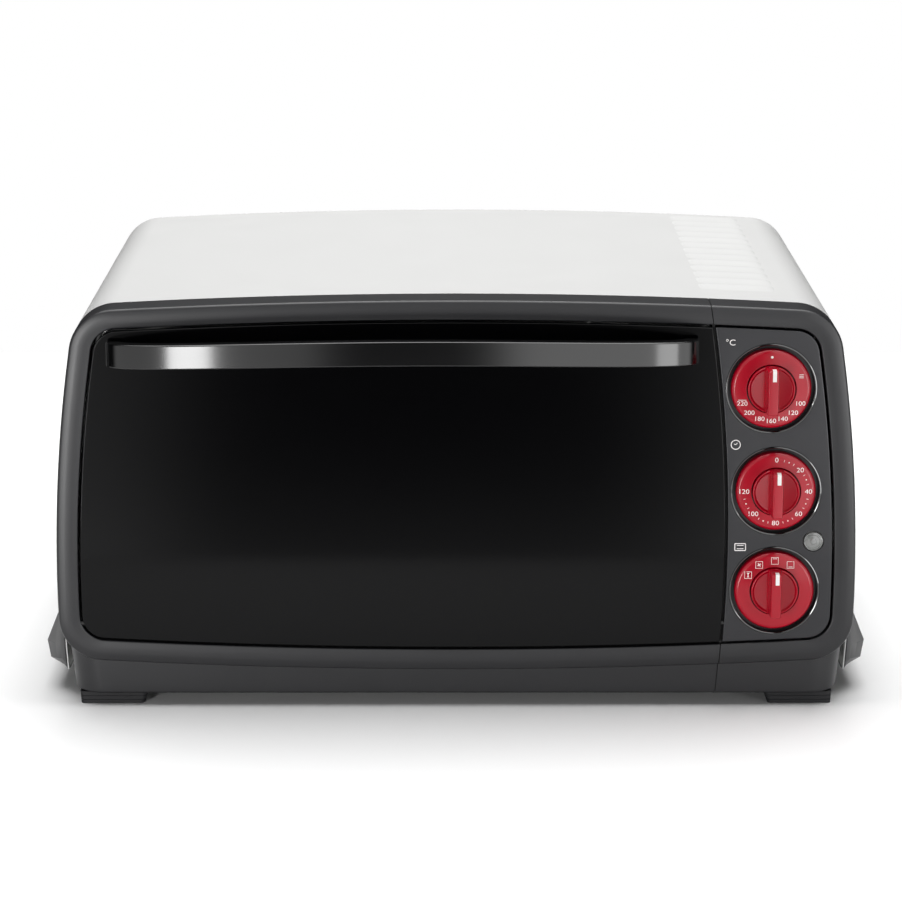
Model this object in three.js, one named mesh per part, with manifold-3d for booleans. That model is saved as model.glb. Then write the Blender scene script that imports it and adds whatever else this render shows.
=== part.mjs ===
// Compact toaster oven with a drop-down door, three control knobs and a convection fan.
// Millimetres. X runs to the right, Y to the back and Z up. The model is laid out with the
// front face at y = 0 and the floor at z = 0; the last lines centre it front to back.
import * as THREE from 'three';
import { mergeVertices } from 'three/addons/utils/BufferGeometryUtils.js';
import Module from 'manifold-3d';

const wasm = await Module();
wasm.setup();

// ------------------------------------------------------------------ driving dimensions

const GAP = 0.3;                       // clearance between pieces that touch on the real oven
const FAR = 600;                       // longer than the oven, for cutting right through

// The body's front outline is a barrel: four shallow outward arcs joined by corner fillets.
const TOP = { z: 240.7, radius: 3650 };
const SIDE = { x: 231, z: 80, radius: 868 };
const BOTTOM = { z: 22.6, radius: 3800 };
const CORNER_RADIUS = 26;

// The front moulding is a hollow ring round one opening, which the door and the controls share.
const RING_DEPTH = 24;
const RING_WALL = 2.5;
const RING_LIP_DEPTH = 16;             // how far the wall round the opening runs back
const OPENING = { top: 11, side: 12.5, bottom: 12.4, corner: 15 };
const SEAM = { x: 155.9, z: 100, radius: 860, halfGap: 0.25 };

// The fascia below the ring is the front of the base.
const FASCIA = { y: 3, bottomZ: 7.5, topZ: 56, halfWidth: 223, draft: 0.12, corner: 18, wall: 2 };
const FASCIA_OVERLAP = 6;              // how far the fascia's wall runs up behind the ring

const COVER = { front: 24.3, back: 339, bottomZ: 16, wall: 0.8 };
const LOUVRE = {
  count: 13, x0: 142, x1: 187, end: 2, y0: 51, pitch: 21.4, slot: 3.2, hood: 2, hoodDepth: 16,
};
const BACK_PANEL = { y: 334, thickness: 0.8, inset: 2.2, bottomZ: 14.5, footHalf: 205, footTop: 34.5 };
const VENTS = {
  rows: 7, pitch: 11, height: 4.5,
  banks: [{ x0: -75, x1: 3, z0: 98 }, { x0: 146, x1: 196, z0: 120 }],
};
const SPACER = { x: 150, end: 352, root: [11, 186, 208], tip: [7, 190, 204] };
const BASE_PAN = { x: 224, y0: 26, y1: 333, z: 12, sheet: 0.8, flangeZ: 34 };

const FOOT = { x0: 180, x1: 220, kneeZ: 7.2, toe0: 182.4, toe1: 219.5, depth: 32 };
const FOOT_STEM = { x0: 184, x1: 204, topZ: 11.7 };
const FOOT_Y = { front: 8, rear: 296 };

const GRIP = {
  y0: 26.5, y1: 44, y2: 296, y3: 328,
  flat: [[229.2, 15.8], [230, 22], [230.6, 30], [231.3, 58]],
  full: [[229.2, 11], [240.8, 17.8], [242.6, 28.3], [231.2, 57]],
};

const HINGE = {
  y: 2, z: 50.5, radius: 1.3, bore: 1.7, leaf: 3,
  leftTip: -221, leftLeaf: -200, rightTip: 160, rightLeaf: 143,
};
const DOOR = { gap: 1.5, seamGap: 0.8, front: -0.5, glass: 3 };
const PAN = { start: 3.8, back: 16.5, sheet: 0.8, inset: 3, lift: 5, seamGap: 2.5 };
const WINDOW = { x0: -180, x1: 118, z0: 70, z1: 195 };
const INNER_GLASS = { margin: 6, thickness: 3.4 };
const STAY = { inner: 52, outer: 60, from: 15.6, to: 110, thickness: 2.5, leftX: -207, rightX: 131 };

const HANDLE = {
  x: -30.4, halfLength: 165.5, start: 5.7, reach: 36, thickness: 9, height: 14,
  z: 216.8, archX: -15, archRadius: 2950, squareness: 2.6, bevel: 1, steps: 26,
};

const CAVITY = { x0: -196, x1: 124, y0: 20.5, y1: 300, z0: 52, z1: 216, sheet: 0.8 };
const FLANGE = { y: 19, sheet: 1, inset: 9.5, rightX: 147 };
const ELEMENT = { radius: 3.2, hole: 4.2, frontY: 90, rearY: 210, upperZ: 206, lowerZ: 66 };
const SHIELD = { x: 140, sheet: 0.6, y0: 26, y1: 332, z0: 14, z1: 232 };

const FAN = { x: -36, z: 134, guardY: 268, guardRadius: 62, bladeRadius: 50, shaft: 2.5, motorY: 302 };
const RACK = { x0: -186, x1: 114, y0: 24, y1: 262, z: 99.6, frame: 1.8, wire: 1.2, wires: 13 };
const RAIL = { width: 13, sheet: 1.2, y0: 23, y1: 264, lip: 16 };
const TRAY = { x0: -174, x1: 102, y0: 40, y1: 248, z0: 101.8, z1: 124, sheet: 0.8 };
const CRUMB_TRAY = { x0: -190, x1: 118, y0: 24, y1: 266, z0: 53.4, z1: 58, sheet: 0.6 };

const PANEL = { gap: 1.2, front: 0.2, plate: 3, skirt: 14, wall: 2 };
const WELL = { radius: 25, floorY: 6, floor: 2, wall: 1.6, hole: 6 };
const DIAL = { outer: 23, inner: 14.3, back: 5.6, rim: 1, crown: -1.6 };
const KNOB = { radius: 13.6, back: 5.3, face: -3, gripWidth: 7, gripLength: 29, gripFront: -14, bore: 3.4 };
const SPINDLE = { radius: 3, front: -1, back: 28 };
const POINTER = { width: 2.2, length: 8, thickness: 0.9, centreZ: 9.4 };
const SWITCH = { bushing: 5.5, bushingFront: 5.9, bodyFront: 14.4 };
const LAMP = { x: 206.1, z: 99.8, lens: 5.5, hole: 5.9, body: 7 };

// Each control sits on its own spindle; the switch behind it is a box of its own size.
const CONTROLS = [
  { name: 'temperature', switchName: 'thermostat_body', x: 180, z: 189.7, size: [34, 30, 32] },
  { name: 'timer', switchName: 'timer_body', x: 183.9, z: 129.5, size: [44, 34, 44] },
  { name: 'function', switchName: 'selector_switch', x: 184.1, z: 70.4, size: [32, 26, 30] },
];

// ------------------------------------------------------------------ finishes

const finish = (color, roughness, metalness) => (
  new THREE.MeshStandardMaterial({ color, roughness, metalness })
);
const WHITE_PAINT = finish(0xe6e6e4, 0.35, 0);
const GREY_PLASTIC = finish(0x3c3c3e, 0.45, 0);
const DARK_PLASTIC = finish(0x2b2b2d, 0.5, 0);
const PANEL_PLASTIC = finish(0x3a3a3d, 0.35, 0);
const BLACK_GLASS = finish(0x0b0b0c, 0.06, 0);
const CLEAR_GLASS = finish(0x8fa09c, 0.05, 0);
const BLACK_GLOSS = finish(0x101012, 0.12, 0);
const RED_PLASTIC = finish(0xa20b14, 0.3, 0);
const WHITE_PLASTIC = finish(0xf2f2f0, 0.4, 0);
const LENS = finish(0xb9b9b6, 0.25, 0);
const SHEET_STEEL = finish(0xa9aaa8, 0.35, 0.9);
const BRIGHT_STEEL = finish(0xc8c9ca, 0.2, 1);
const ELEMENT_STEEL = finish(0x55524e, 0.5, 0.7);
const ENAMEL = finish(0x1c1d20, 0.25, 0);
const RUBBER = finish(0x1a1a1a, 0.8, 0);
const PHENOLIC = finish(0x5a4a3a, 0.6, 0);

// ------------------------------------------------------------------ solids

/** A closed geometry as a manifold solid, with shared vertices merged and empty triangles dropped. */
function solidOf(geometry) {
  geometry.deleteAttribute('normal');
  geometry.deleteAttribute('uv');
  const merged = mergeVertices(geometry, 1e-4);
  const index = merged.index.array;
  const kept = [];
  for (let i = 0; i < index.length; i += 3) {
    const [a, b, c] = [index[i], index[i + 1], index[i + 2]];
    if (a !== b && b !== c && c !== a) kept.push(a, b, c);
  }
  return new wasm.Manifold(new wasm.Mesh({
    numProp: 3,
    vertProperties: new Float32Array(merged.attributes.position.array),
    triVerts: new Uint32Array(kept),
  }));
}

/** A manifold solid as a geometry for a mesh. */
function geometryOf(solid) {
  const mesh = solid.getMesh();
  const geometry = new THREE.BufferGeometry();
  geometry.setAttribute('position', new THREE.BufferAttribute(new Float32Array(mesh.vertProperties), 3));
  geometry.setIndex(new THREE.BufferAttribute(new Uint32Array(mesh.triVerts), 1));
  geometry.computeVertexNormals();
  return geometry;
}

/** A box from its low and high coordinates. */
function box(x0, x1, y0, y1, z0, z1) {
  const geometry = new THREE.BoxGeometry(x1 - x0, y1 - y0, z1 - z0);
  return solidOf(geometry.translate((x0 + x1) / 2, (y0 + y1) / 2, (z0 + z1) / 2));
}

/** A front view outline of [x, z] points, extruded from y0 back to y1. */
function slab(points, y0, y1) {
  const shape = new THREE.Shape(points.map(([x, z]) => new THREE.Vector2(x, z)));
  const geometry = new THREE.ExtrudeGeometry(shape, { depth: y1 - y0, bevelEnabled: false });
  return solidOf(geometry.rotateX(Math.PI / 2).translate(0, y1, 0));
}

/** A side view outline of [y, z] points, extruded from x0 to x1. */
function sideSlab(points, x0, x1) {
  const shape = new THREE.Shape(points.map(([y, z]) => new THREE.Vector2(y, z)));
  const geometry = new THREE.ExtrudeGeometry(shape, { depth: x1 - x0, bevelEnabled: false });
  const turn = new THREE.Matrix4().set(0, 0, 1, x0, 1, 0, 0, 0, 0, 1, 0, 0, 0, 0, 0, 1);
  return solidOf(geometry.applyMatrix4(turn));
}

/** A round bar along X. */
function barX(radius, x0, x1, y, z, sides = 12) {
  const geometry = new THREE.CylinderGeometry(radius, radius, x1 - x0, sides);
  return solidOf(geometry.rotateZ(Math.PI / 2).translate((x0 + x1) / 2, y, z));
}

/** A round bar along Y. */
function barY(radius, y0, y1, x, z, sides = 16) {
  const geometry = new THREE.CylinderGeometry(radius, radius, y1 - y0, sides);
  return solidOf(geometry.translate(x, (y0 + y1) / 2, z));
}

/** A solid turned about the Y axis from a profile of [radius, y] points, in rising y on its outside. */
function turned(profile, segments = 24) {
  return solidOf(new THREE.LatheGeometry(profile.map(([r, y]) => new THREE.Vector2(r, y)), segments));
}

/** A closed skin through convex rings of points, capped at both ends. */
function loft(rings) {
  const count = rings[0].length;
  const positions = rings.flat().flatMap((p) => [p.x, p.y, p.z]);
  const index = [];
  for (let ring = 0; ring < rings.length - 1; ring += 1) {
    for (let i = 0; i < count; i += 1) {
      const j = (i + 1) % count;
      const [a, b] = [ring * count + i, ring * count + j];
      index.push(a, b, b + count, a, b + count, a + count);
    }
  }
  const last = (rings.length - 1) * count;
  for (let i = 1; i < count - 1; i += 1) {
    index.push(0, i + 1, i, last, last + i, last + i + 1);
  }
  const geometry = new THREE.BufferGeometry();
  geometry.setAttribute('position', new THREE.Float32BufferAttribute(positions, 3));
  geometry.setIndex(index);
  return solidOf(geometry);
}

// ------------------------------------------------------------------ outlines

/** Points on an arc, both ends included. */
function arc(centre, radius, from, to, steps) {
  return Array.from({ length: steps + 1 }, (_, i) => {
    const angle = from + ((to - from) * i) / steps;
    return [centre[0] + radius * Math.cos(angle), centre[1] + radius * Math.sin(angle)];
  });
}

/** The crossing of two circles that lies in the quarter given by the signs. */
function crossing(a, b, signX, signZ) {
  const [dx, dz] = [b.centre[0] - a.centre[0], b.centre[1] - a.centre[1]];
  const d = Math.hypot(dx, dz);
  const along = (d * d + a.radius * a.radius - b.radius * b.radius) / (2 * d);
  const across = Math.sqrt(a.radius * a.radius - along * along);
  const middle = [a.centre[0] + (along * dx) / d, a.centre[1] + (along * dz) / d];
  const pair = [-1, 1].map((s) => [middle[0] - (s * across * dz) / d, middle[1] + (s * across * dx) / d]);
  const midZ = (TOP.z + BOTTOM.z) / 2;
  return pair.find(([x, z]) => x * signX > 0 && (z - midZ) * signZ > 0);
}

const angleFrom = (centre, point) => Math.atan2(point[1] - centre[1], point[0] - centre[0]);

/** The four arcs of the barrel, moved inwards. */
function barrelArcs(inset) {
  return {
    right: { centre: [SIDE.x - SIDE.radius, SIDE.z], radius: SIDE.radius - inset.side },
    top: { centre: [0, TOP.z - TOP.radius], radius: TOP.radius - inset.top },
    left: { centre: [SIDE.radius - SIDE.x, SIDE.z], radius: SIDE.radius - inset.side },
    bottom: { centre: [0, BOTTOM.z + BOTTOM.radius], radius: BOTTOM.radius - inset.bottom },
  };
}

/** A corner between two arcs: its fillet's centre and the angles at which it meets them. */
function cornerOf(from, to, radius, signX, signZ) {
  const shrink = (a) => ({ centre: a.centre, radius: a.radius - radius });
  const centre = crossing(shrink(from), shrink(to), signX, signZ);
  return { centre, radius, start: angleFrom(from.centre, centre), end: angleFrom(to.centre, centre) };
}

/** Angle `to`, wound on so that it follows `from` anticlockwise by less than a turn. */
const wound = (from, to) => (to < from ? to + 2 * Math.PI : to);

/** The whole barrel outline, anticlockwise, moved inwards by the insets. */
function barrel(inset, cornerSteps = 6, sideSteps = 6, topSteps = 10) {
  const { right, top, left, bottom } = barrelArcs(inset);
  const corners = [
    cornerOf(right, top, inset.corner, 1, 1),
    cornerOf(top, left, inset.corner, -1, 1),
    cornerOf(left, bottom, inset.corner, -1, -1),
    cornerOf(bottom, right, inset.corner, 1, -1),
  ];
  const arcs = [top, left, bottom, right];
  const steps = [topSteps, sideSteps, topSteps, sideSteps];
  return corners.flatMap((corner, i) => {
    const next = corners[(i + 1) % corners.length];
    const last = wound(corner.start, corner.end);
    const fillet = arc(corner.centre, corner.radius, corner.start, last, cornerSteps);
    const runEnd = wound(corner.end, next.start);
    const run = arc(arcs[i].centre, arcs[i].radius, corner.end, runEnd, steps[i]);
    return [...fillet, ...run.slice(1, -1)];
  });
}

const uniformInset = (by) => ({ top: by, side: by, bottom: by, corner: CORNER_RADIUS - by });

/** The opening's insets moved further in, or out when negative. */
const openingInset = (by) => ({
  top: OPENING.top + by, side: OPENING.side + by, bottom: OPENING.bottom + by, corner: OPENING.corner - by,
});

const seamX = (z) => SEAM.x - (z - SEAM.z) ** 2 / (2 * SEAM.radius);

/** Everything on one side of the door's seam, kept the given gap away from it. */
function besideSeam(side, gap) {
  const levels = Array.from({ length: 17 }, (_, i) => -10 + i * 16.25);
  const curve = levels.map((z) => [seamX(z) + side * gap, z]);
  const outer = [[side * FAR, levels.at(-1)], [side * FAR, levels[0]]];
  const points = [...curve, ...outer];
  return slab(side > 0 ? points.reverse() : points, -FAR, FAR);
}

/** The hole that a hinge pin turns in. */
const hingeBore = (x0, x1) => barX(HINGE.bore, x0, x1, HINGE.y, HINGE.z, 12);

/** The wrap cover's outline from one lower edge over the top to the other, moved inwards. */
function wrapPath(inset) {
  const { right, top, left } = barrelArcs(inset);
  const first = cornerOf(right, top, inset.corner, 1, 1);
  const second = cornerOf(top, left, inset.corner, -1, 1);
  const footAngle = Math.asin((COVER.bottomZ - SIDE.z) / right.radius);
  return [
    ...arc(right.centre, right.radius, footAngle, first.start, 6),
    ...arc(first.centre, first.radius, first.start, first.end, 7).slice(1),
    ...arc(top.centre, top.radius, first.end, second.start, 12).slice(1),
    ...arc(second.centre, second.radius, second.start, wound(second.start, second.end), 7).slice(1),
    ...arc(left.centre, left.radius, wound(0, second.end), Math.PI - footAngle, 6).slice(1),
  ];
}

// ------------------------------------------------------------------ housing

/** The hollow ring round the front opening, open at the back. */
function ring() {
  const body = slab(barrel(uniformInset(0)), 0, RING_DEPTH);
  const hollow = slab(barrel(uniformInset(RING_WALL)), RING_WALL, FAR);
  const lip = slab(barrel(openingInset(-2)), 0, RING_LIP_DEPTH);
  return body.subtract(hollow).add(lip).subtract(slab(barrel(openingInset(0)), -1, FAR));
}

/** The base's front wall, with its corners rounded in plan and its sides drawn in towards the floor. */
function fasciaShell() {
  const plan = (z, inward) => {
    const x = FASCIA.halfWidth + FASCIA.draft * (z - FASCIA.bottomZ) - inward;
    const y = FASCIA.y + inward;
    const r = FASCIA.corner - inward;
    const leftCorner = arc([-x + r, y + r], r, Math.PI, 1.5 * Math.PI, 6);
    const rightCorner = arc([x - r, y + r], r, 1.5 * Math.PI, 2 * Math.PI, 6);
    const back = inward > 0 ? RING_DEPTH + 1 : RING_DEPTH;
    const path = [...leftCorner, ...rightCorner, [x, back], [-x, back]];
    return path.map(([px, py]) => new THREE.Vector3(px, py, z));
  };
  const outside = loft([plan(FASCIA.bottomZ, 0), plan(FASCIA.topZ, 0)]);
  const inside = loft([plan(FASCIA.bottomZ - 1, FASCIA.wall), plan(FASCIA.topZ + 1, FASCIA.wall)]);
  return outside.subtract(inside);
}

/** The ring and fascia together, before they part at the seam. */
function frontMoulding() {
  const clearOfOpening = slab(barrel(uniformInset(FASCIA_OVERLAP)), -1, FAR);
  return ring().add(fasciaShell().subtract(clearOfOpening));
}

function wrapCover() {
  const outline = [...wrapPath(uniformInset(0)), ...wrapPath(uniformInset(COVER.wall)).reverse()];
  let cover = slab(outline, COVER.front, COVER.back);
  const { x0, x1, y0, pitch, slot, hood, hoodDepth, end, count } = LOUVRE;
  const crown = (x) => TOP.z - x ** 2 / (2 * TOP.radius);
  const ridgeEnd = (x, toe, heel) => [
    new THREE.Vector3(x, toe, crown(x) - 1), new THREE.Vector3(x, heel, crown(x) - 1),
    new THREE.Vector3(x, heel, crown(x) + hood),
  ];
  for (let i = 0; i < count; i += 1) {
    const toe = y0 + i * pitch;
    const heel = toe + hoodDepth;
    cover = cover.add(loft([ridgeEnd(x0, toe, heel), ridgeEnd(x1, toe, heel)]));
    cover = cover.subtract(box(x0 + end, x1 - end, heel + GAP, heel + slot, crown(x1) - 6, crown(x0) + 6));
  }
  return cover;
}

/** The back plate, with two banks of cooling slots and a hole for the supply gland. */
function backPanel(gland) {
  const { y, thickness, inset, bottomZ, footHalf, footTop } = BACK_PANEL;
  const outline = barrel(uniformInset(inset), 4, 4, 8);
  let plate = slab(outline, y, y + thickness).subtract(box(-FAR, FAR, 0, FAR, -1, bottomZ));
  plate = plate.add(box(-footHalf, footHalf, y, y + thickness, bottomZ, footTop));
  for (const { x0, x1, z0 } of VENTS.banks) {
    for (let row = 0; row < VENTS.rows; row += 1) {
      const z = z0 + row * VENTS.pitch;
      plate = plate.subtract(box(x0, x1, y - 1, y + 3, z, z + VENTS.height));
    }
  }
  return plate.subtract(barY(gland.hole, y - 1, y + 3, gland.x, gland.z));
}

function basePan() {
  const { x, y0, y1, z, sheet, flangeZ } = BASE_PAN;
  const side = (sign) => {
    const [a, b] = [sign * (x - sheet), sign * x];
    return box(Math.min(a, b), Math.max(a, b), y0, y1, z, flangeZ);
  };
  return box(-x, x, y0, y1, z, z + sheet).add(side(-1)).add(side(1));
}

/** A flared lifting grip along one lower side, fading into the body at both ends. */
function sideGrip(sign) {
  const at = (section, y) => section.map(([x, z]) => new THREE.Vector3(sign * x, y, z));
  const { flat, full } = GRIP;
  const rings = [at(flat, GRIP.y0), at(full, GRIP.y1), at(full, GRIP.y2), at(flat, GRIP.y3)];
  return loft(sign > 0 ? rings.map((ring) => ring.reverse()) : rings);
}

/** A foot, wider than the stem that joins it to the base. */
function foot(sign, y0) {
  const { x0, x1, toe0, toe1, kneeZ, depth } = FOOT;
  const stem = FOOT_STEM;
  const half = [
    [toe0, 0], [toe1, 0], [x1, kneeZ], [stem.x1, kneeZ],
    [stem.x1, stem.topZ], [stem.x0, stem.topZ], [stem.x0, kneeZ], [x0, kneeZ],
  ];
  const points = half.map(([x, z]) => [sign * x, z]);
  return slab(sign > 0 ? points : points.reverse(), y0, y0 + depth);
}

/** A tapered peg that keeps the back clear of a wall. */
function wallSpacer(x) {
  const y0 = BACK_PANEL.y + BACK_PANEL.thickness + GAP;
  const ringAt = (y, [half, z0, z1]) => [
    new THREE.Vector3(x - half, y, z0), new THREE.Vector3(x - half, y, z1),
    new THREE.Vector3(x + half, y, z1), new THREE.Vector3(x + half, y, z0),
  ];
  return loft([ringAt(y0, SPACER.root), ringAt(SPACER.end, SPACER.tip)]);
}

// ------------------------------------------------------------------ cavity

function cavityLiner() {
  const { x0, x1, y0, y1, z0, z1, sheet } = CAVITY;
  let liner = box(x0, x1, y0, y1, z0, z1);
  liner = liner.subtract(box(x0 + sheet, x1 - sheet, y0 - 1, y1 - sheet, z0 + sheet, z1 - sheet));
  for (const y of [ELEMENT.frontY, ELEMENT.rearY]) {
    for (const z of [ELEMENT.upperZ, ELEMENT.lowerZ]) {
      liner = liner.subtract(barX(ELEMENT.hole, x0 - 1, x1 + 1, y, z, 10));
    }
  }
  return liner.subtract(barY(6, y1 - 3, y1 + 3, FAN.x, FAN.z, 12));
}

/** The plate round the cavity's mouth that the door closes on, slotted for the door's stays. */
function cavityFlange() {
  const { y, sheet, inset, rightX } = FLANGE;
  const inner = CAVITY.sheet;
  const plate = slab(barrel(uniformInset(inset), 4, 4, 8), y, y + sheet);
  const mouth = box(CAVITY.x0 + inner, CAVITY.x1 - inner, 0, 30, CAVITY.z0 + inner, CAVITY.z1 - inner);
  const staySlot = (x) => box(x - 2, x + STAY.thickness + 2, 0, 30, HINGE.z + 47, HINGE.z + 59.5);
  return plate
    .subtract(box(rightX, FAR, 0, 30, -FAR, FAR))
    .subtract(mouth)
    .subtract(staySlot(STAY.leftX))
    .subtract(staySlot(STAY.rightX));
}

const element = (y, z) => barX(ELEMENT.radius, CAVITY.x0 - 7, CAVITY.x1 + 7, y, z, 10);

/** A ledge on the cavity wall that carries one edge of the rack. */
function rail(sign) {
  const wall = sign < 0 ? CAVITY.x0 + CAVITY.sheet + GAP : CAVITY.x1 - CAVITY.sheet - GAP;
  const top = RACK.z - RACK.frame - GAP;
  const span = (depth) => [Math.min(wall, wall - sign * depth), Math.max(wall, wall - sign * depth)];
  const ledge = box(...span(RAIL.width), RAIL.y0, RAIL.y1, top - RAIL.sheet, top);
  return ledge.add(box(...span(RAIL.sheet), RAIL.y0, RAIL.y1, top - RAIL.sheet - RAIL.lip, top));
}

/** The wire shelf: a frame of heavy wire with thinner wires laid across it. */
function wireRack() {
  const { x0, x1, y0, y1, z, frame, wire, wires } = RACK;
  let rack = barX(frame, x0, x1, y0 + frame, z, 8).add(barX(frame, x0, x1, y1 - frame, z, 8));
  rack = rack.add(barY(frame, y0, y1, x0 + frame, z, 8)).add(barY(frame, y0, y1, x1 - frame, z, 8));
  for (let i = 1; i <= wires; i += 1) {
    const x = x0 + ((x1 - x0) * i) / (wires + 1);
    rack = rack.add(barY(wire, y0 + frame, y1 - frame, x, z, 6));
  }
  return rack;
}

/** A shallow tray, open at the top. */
function tray({ x0, x1, y0, y1, z0, z1, sheet }) {
  const inside = box(x0 + sheet, x1 - sheet, y0 + sheet, y1 - sheet, z0 + sheet, z1 + 1);
  return box(x0, x1, y0, y1, z0, z1).subtract(inside);
}

// ------------------------------------------------------------------ convection fan

/** The drum in front of the fan, with radial slots in its face and windows in its rim. */
function fanGuard() {
  const { guardRadius: r, guardY: y } = FAN;
  const back = CAVITY.y1 - CAVITY.sheet - GAP;
  const wall = 1.4;
  let guard = turned([[0, y], [r, y], [r, back], [r - wall, back], [r - wall, y + wall], [0, y + wall]], 28);
  const spokes = 10;
  for (let i = 0; i < spokes; i += 1) {
    const turn = (360 / spokes) * i;
    guard = guard.subtract(box(18, 54, y - 2, y + 3, -4, 4).rotate([0, turn, 0]));
    guard = guard.subtract(box(r - 4, r + 4, y + 8, back - 8, -9, 9).rotate([0, turn, 0]));
  }
  return guard.translate([FAN.x, 0, FAN.z]);
}

/** A hub with six pitched blades. */
function fanBlade() {
  const { guardY, bladeRadius, shaft } = FAN;
  const [front, back] = [guardY + 7, guardY + 23];
  let fan = barY(9, front, back, 0, 0, 16);
  const blades = 6;
  for (let i = 0; i < blades; i += 1) {
    const blade = box(6, bladeRadius, -1, 1, -9, 9).rotate([35, 0, 0]);
    fan = fan.add(blade.translate([0, (front + back) / 2, 0]).rotate([0, (360 / blades) * i, 0]));
  }
  return fan.subtract(barY(shaft + GAP, front - 5, back + 5, 0, 0, 12)).translate([FAN.x, 0, FAN.z]);
}

const fanShaft = () => barY(FAN.shaft, FAN.guardY + 4, FAN.motorY + 8, FAN.x, FAN.z, 12);

function fanMotor() {
  const { motorY: y, shaft, x, z } = FAN;
  const can = barY(26, y, y + 24, x, z, 24).add(barY(9, y + 24, y + 29, x, z, 16));
  return can.subtract(barY(shaft + GAP, y - 1, y + 12, x, z, 12));
}

// ------------------------------------------------------------------ door

/** The dark outer glass, hollowed from behind at its lower corners to clear the hinges. */
function doorGlass() {
  const front = slab(barrel(openingInset(DOOR.gap)), DOOR.front, DOOR.front + DOOR.glass);
  const pocket = (x0, x1) => box(x0, x1, 0.3, 10, HINGE.z - 3, HINGE.z + 8);
  return front
    .intersect(besideSeam(-1, DOOR.seamGap))
    .subtract(pocket(-FAR, HINGE.leftLeaf + 1))
    .subtract(pocket(HINGE.rightLeaf - 2, FAR));
}

/** The pressed steel pan behind the glass, with the window in its back. */
function doorFrame() {
  const { start, back, sheet, inset, lift, seamGap } = PAN;
  const shape = (by, y0, y1) => {
    const outline = openingInset(inset + by);
    outline.bottom += lift;
    return slab(barrel(outline), y0, y1).intersect(besideSeam(-1, seamGap + by));
  };
  const pan = shape(0, start, back).subtract(shape(sheet, 0, back - sheet));
  return pan.subtract(box(WINDOW.x0, WINDOW.x1, 0, 30, WINDOW.z0, WINDOW.z1));
}

function innerGlass() {
  const { margin, thickness } = INNER_GLASS;
  const back = PAN.back - PAN.sheet - GAP;
  const { x0, x1, z0, z1 } = WINDOW;
  return box(x0 - margin, x1 + margin, back - thickness, back, z0 - margin, z1 + margin);
}

/** A hinge pin, cranked round the pan's lower edge to the leaf that is fixed inside the pan. */
function doorHinge(tip, leaf) {
  const outward = Math.sign(tip - leaf) * HINGE.leaf;
  const [x0, x1] = [Math.min(leaf, leaf + outward), Math.max(leaf, leaf + outward)];
  const [front, back] = [HINGE.y - HINGE.radius, HINGE.y + HINGE.radius];
  const [crankZ, plateZ] = [HINGE.z + 3.8, HINGE.z + 6.5];
  const pin = barX(HINGE.radius, Math.min(tip, leaf), Math.max(tip, leaf), HINGE.y, HINGE.z, 12);
  return pin
    .add(box(x0, x1, front, back, HINGE.z - HINGE.radius, plateZ))
    .add(box(x0, x1, front, 12, crankZ, plateZ))
    .add(box(x0, x1, 4.2, 12, crankZ, HINGE.z + 19));
}

/** A curved strap, concentric with the hinge, that slides through the flange and stops the door. */
function doorStay(x) {
  const { inner, outer, from, to, thickness } = STAY;
  const back = (degrees) => Math.PI / 2 - THREE.MathUtils.degToRad(degrees);
  const centre = [HINGE.y, HINGE.z];
  const outerRun = arc(centre, outer, back(from), back(to), 14);
  const innerRun = arc(centre, inner, back(to), back(from), 14);
  const strap = sideSlab([...outerRun, ...innerRun].reverse(), x, x + thickness);
  return strap.subtract(box(x - 1, x + 5, -FAR, PAN.back + GAP, -FAR, FAR));
}

/** The bowed bar, following a superellipse in plan and the door's arched top in front view. */
function doorHandle() {
  const { x, halfLength, start, reach, thickness, height, bevel } = HANDLE;
  const { z, archX, archRadius, squareness, steps } = HANDLE;
  const bow = reach - start - thickness / 2;
  const centreline = (t) => {
    const c = Math.cos(Math.PI * t);
    const px = x - halfLength * Math.sign(c) * Math.abs(c) ** (2 / squareness);
    const py = -start - bow * Math.sin(Math.PI * t);
    return new THREE.Vector3(px, py, z - (px - archX) ** 2 / (2 * archRadius));
  };
  const [w, h] = [thickness / 2, height / 2];
  const section = [
    [w, bevel - h], [w - bevel, -h], [bevel - w, -h], [-w, bevel - h],
    [-w, h - bevel], [bevel - w, h], [w - bevel, h], [w, h - bevel],
  ];
  const rings = Array.from({ length: steps + 1 }, (_, i) => {
    const t = i / steps;
    const centre = centreline(t);
    const ahead = centreline(Math.min(1, t + 1e-3)).sub(centreline(Math.max(0, t - 1e-3)));
    const along = i === 0 ? Math.PI * 1.5 : i === steps ? Math.PI / 2 : Math.atan2(ahead.y, ahead.x);
    const outward = new THREE.Vector3(Math.sin(along), -Math.cos(along), 0);
    const up = new THREE.Vector3(0, 0, 1);
    return section.map(([a, b]) => centre.clone().addScaledVector(outward, a).addScaledVector(up, b));
  });
  return loft(rings);
}

/** The foot between one end of the handle and the glass. */
function handleMount(side) {
  const x = HANDLE.x + side * HANDLE.halfLength;
  const z = HANDLE.z - (x - HANDLE.archX) ** 2 / (2 * HANDLE.archRadius);
  const half = HANDLE.thickness / 2 - 0.5;
  return box(x - half, x + half, -HANDLE.start + GAP, DOOR.front - GAP, z - 6, z + 6);
}

// ------------------------------------------------------------------ controls

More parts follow.
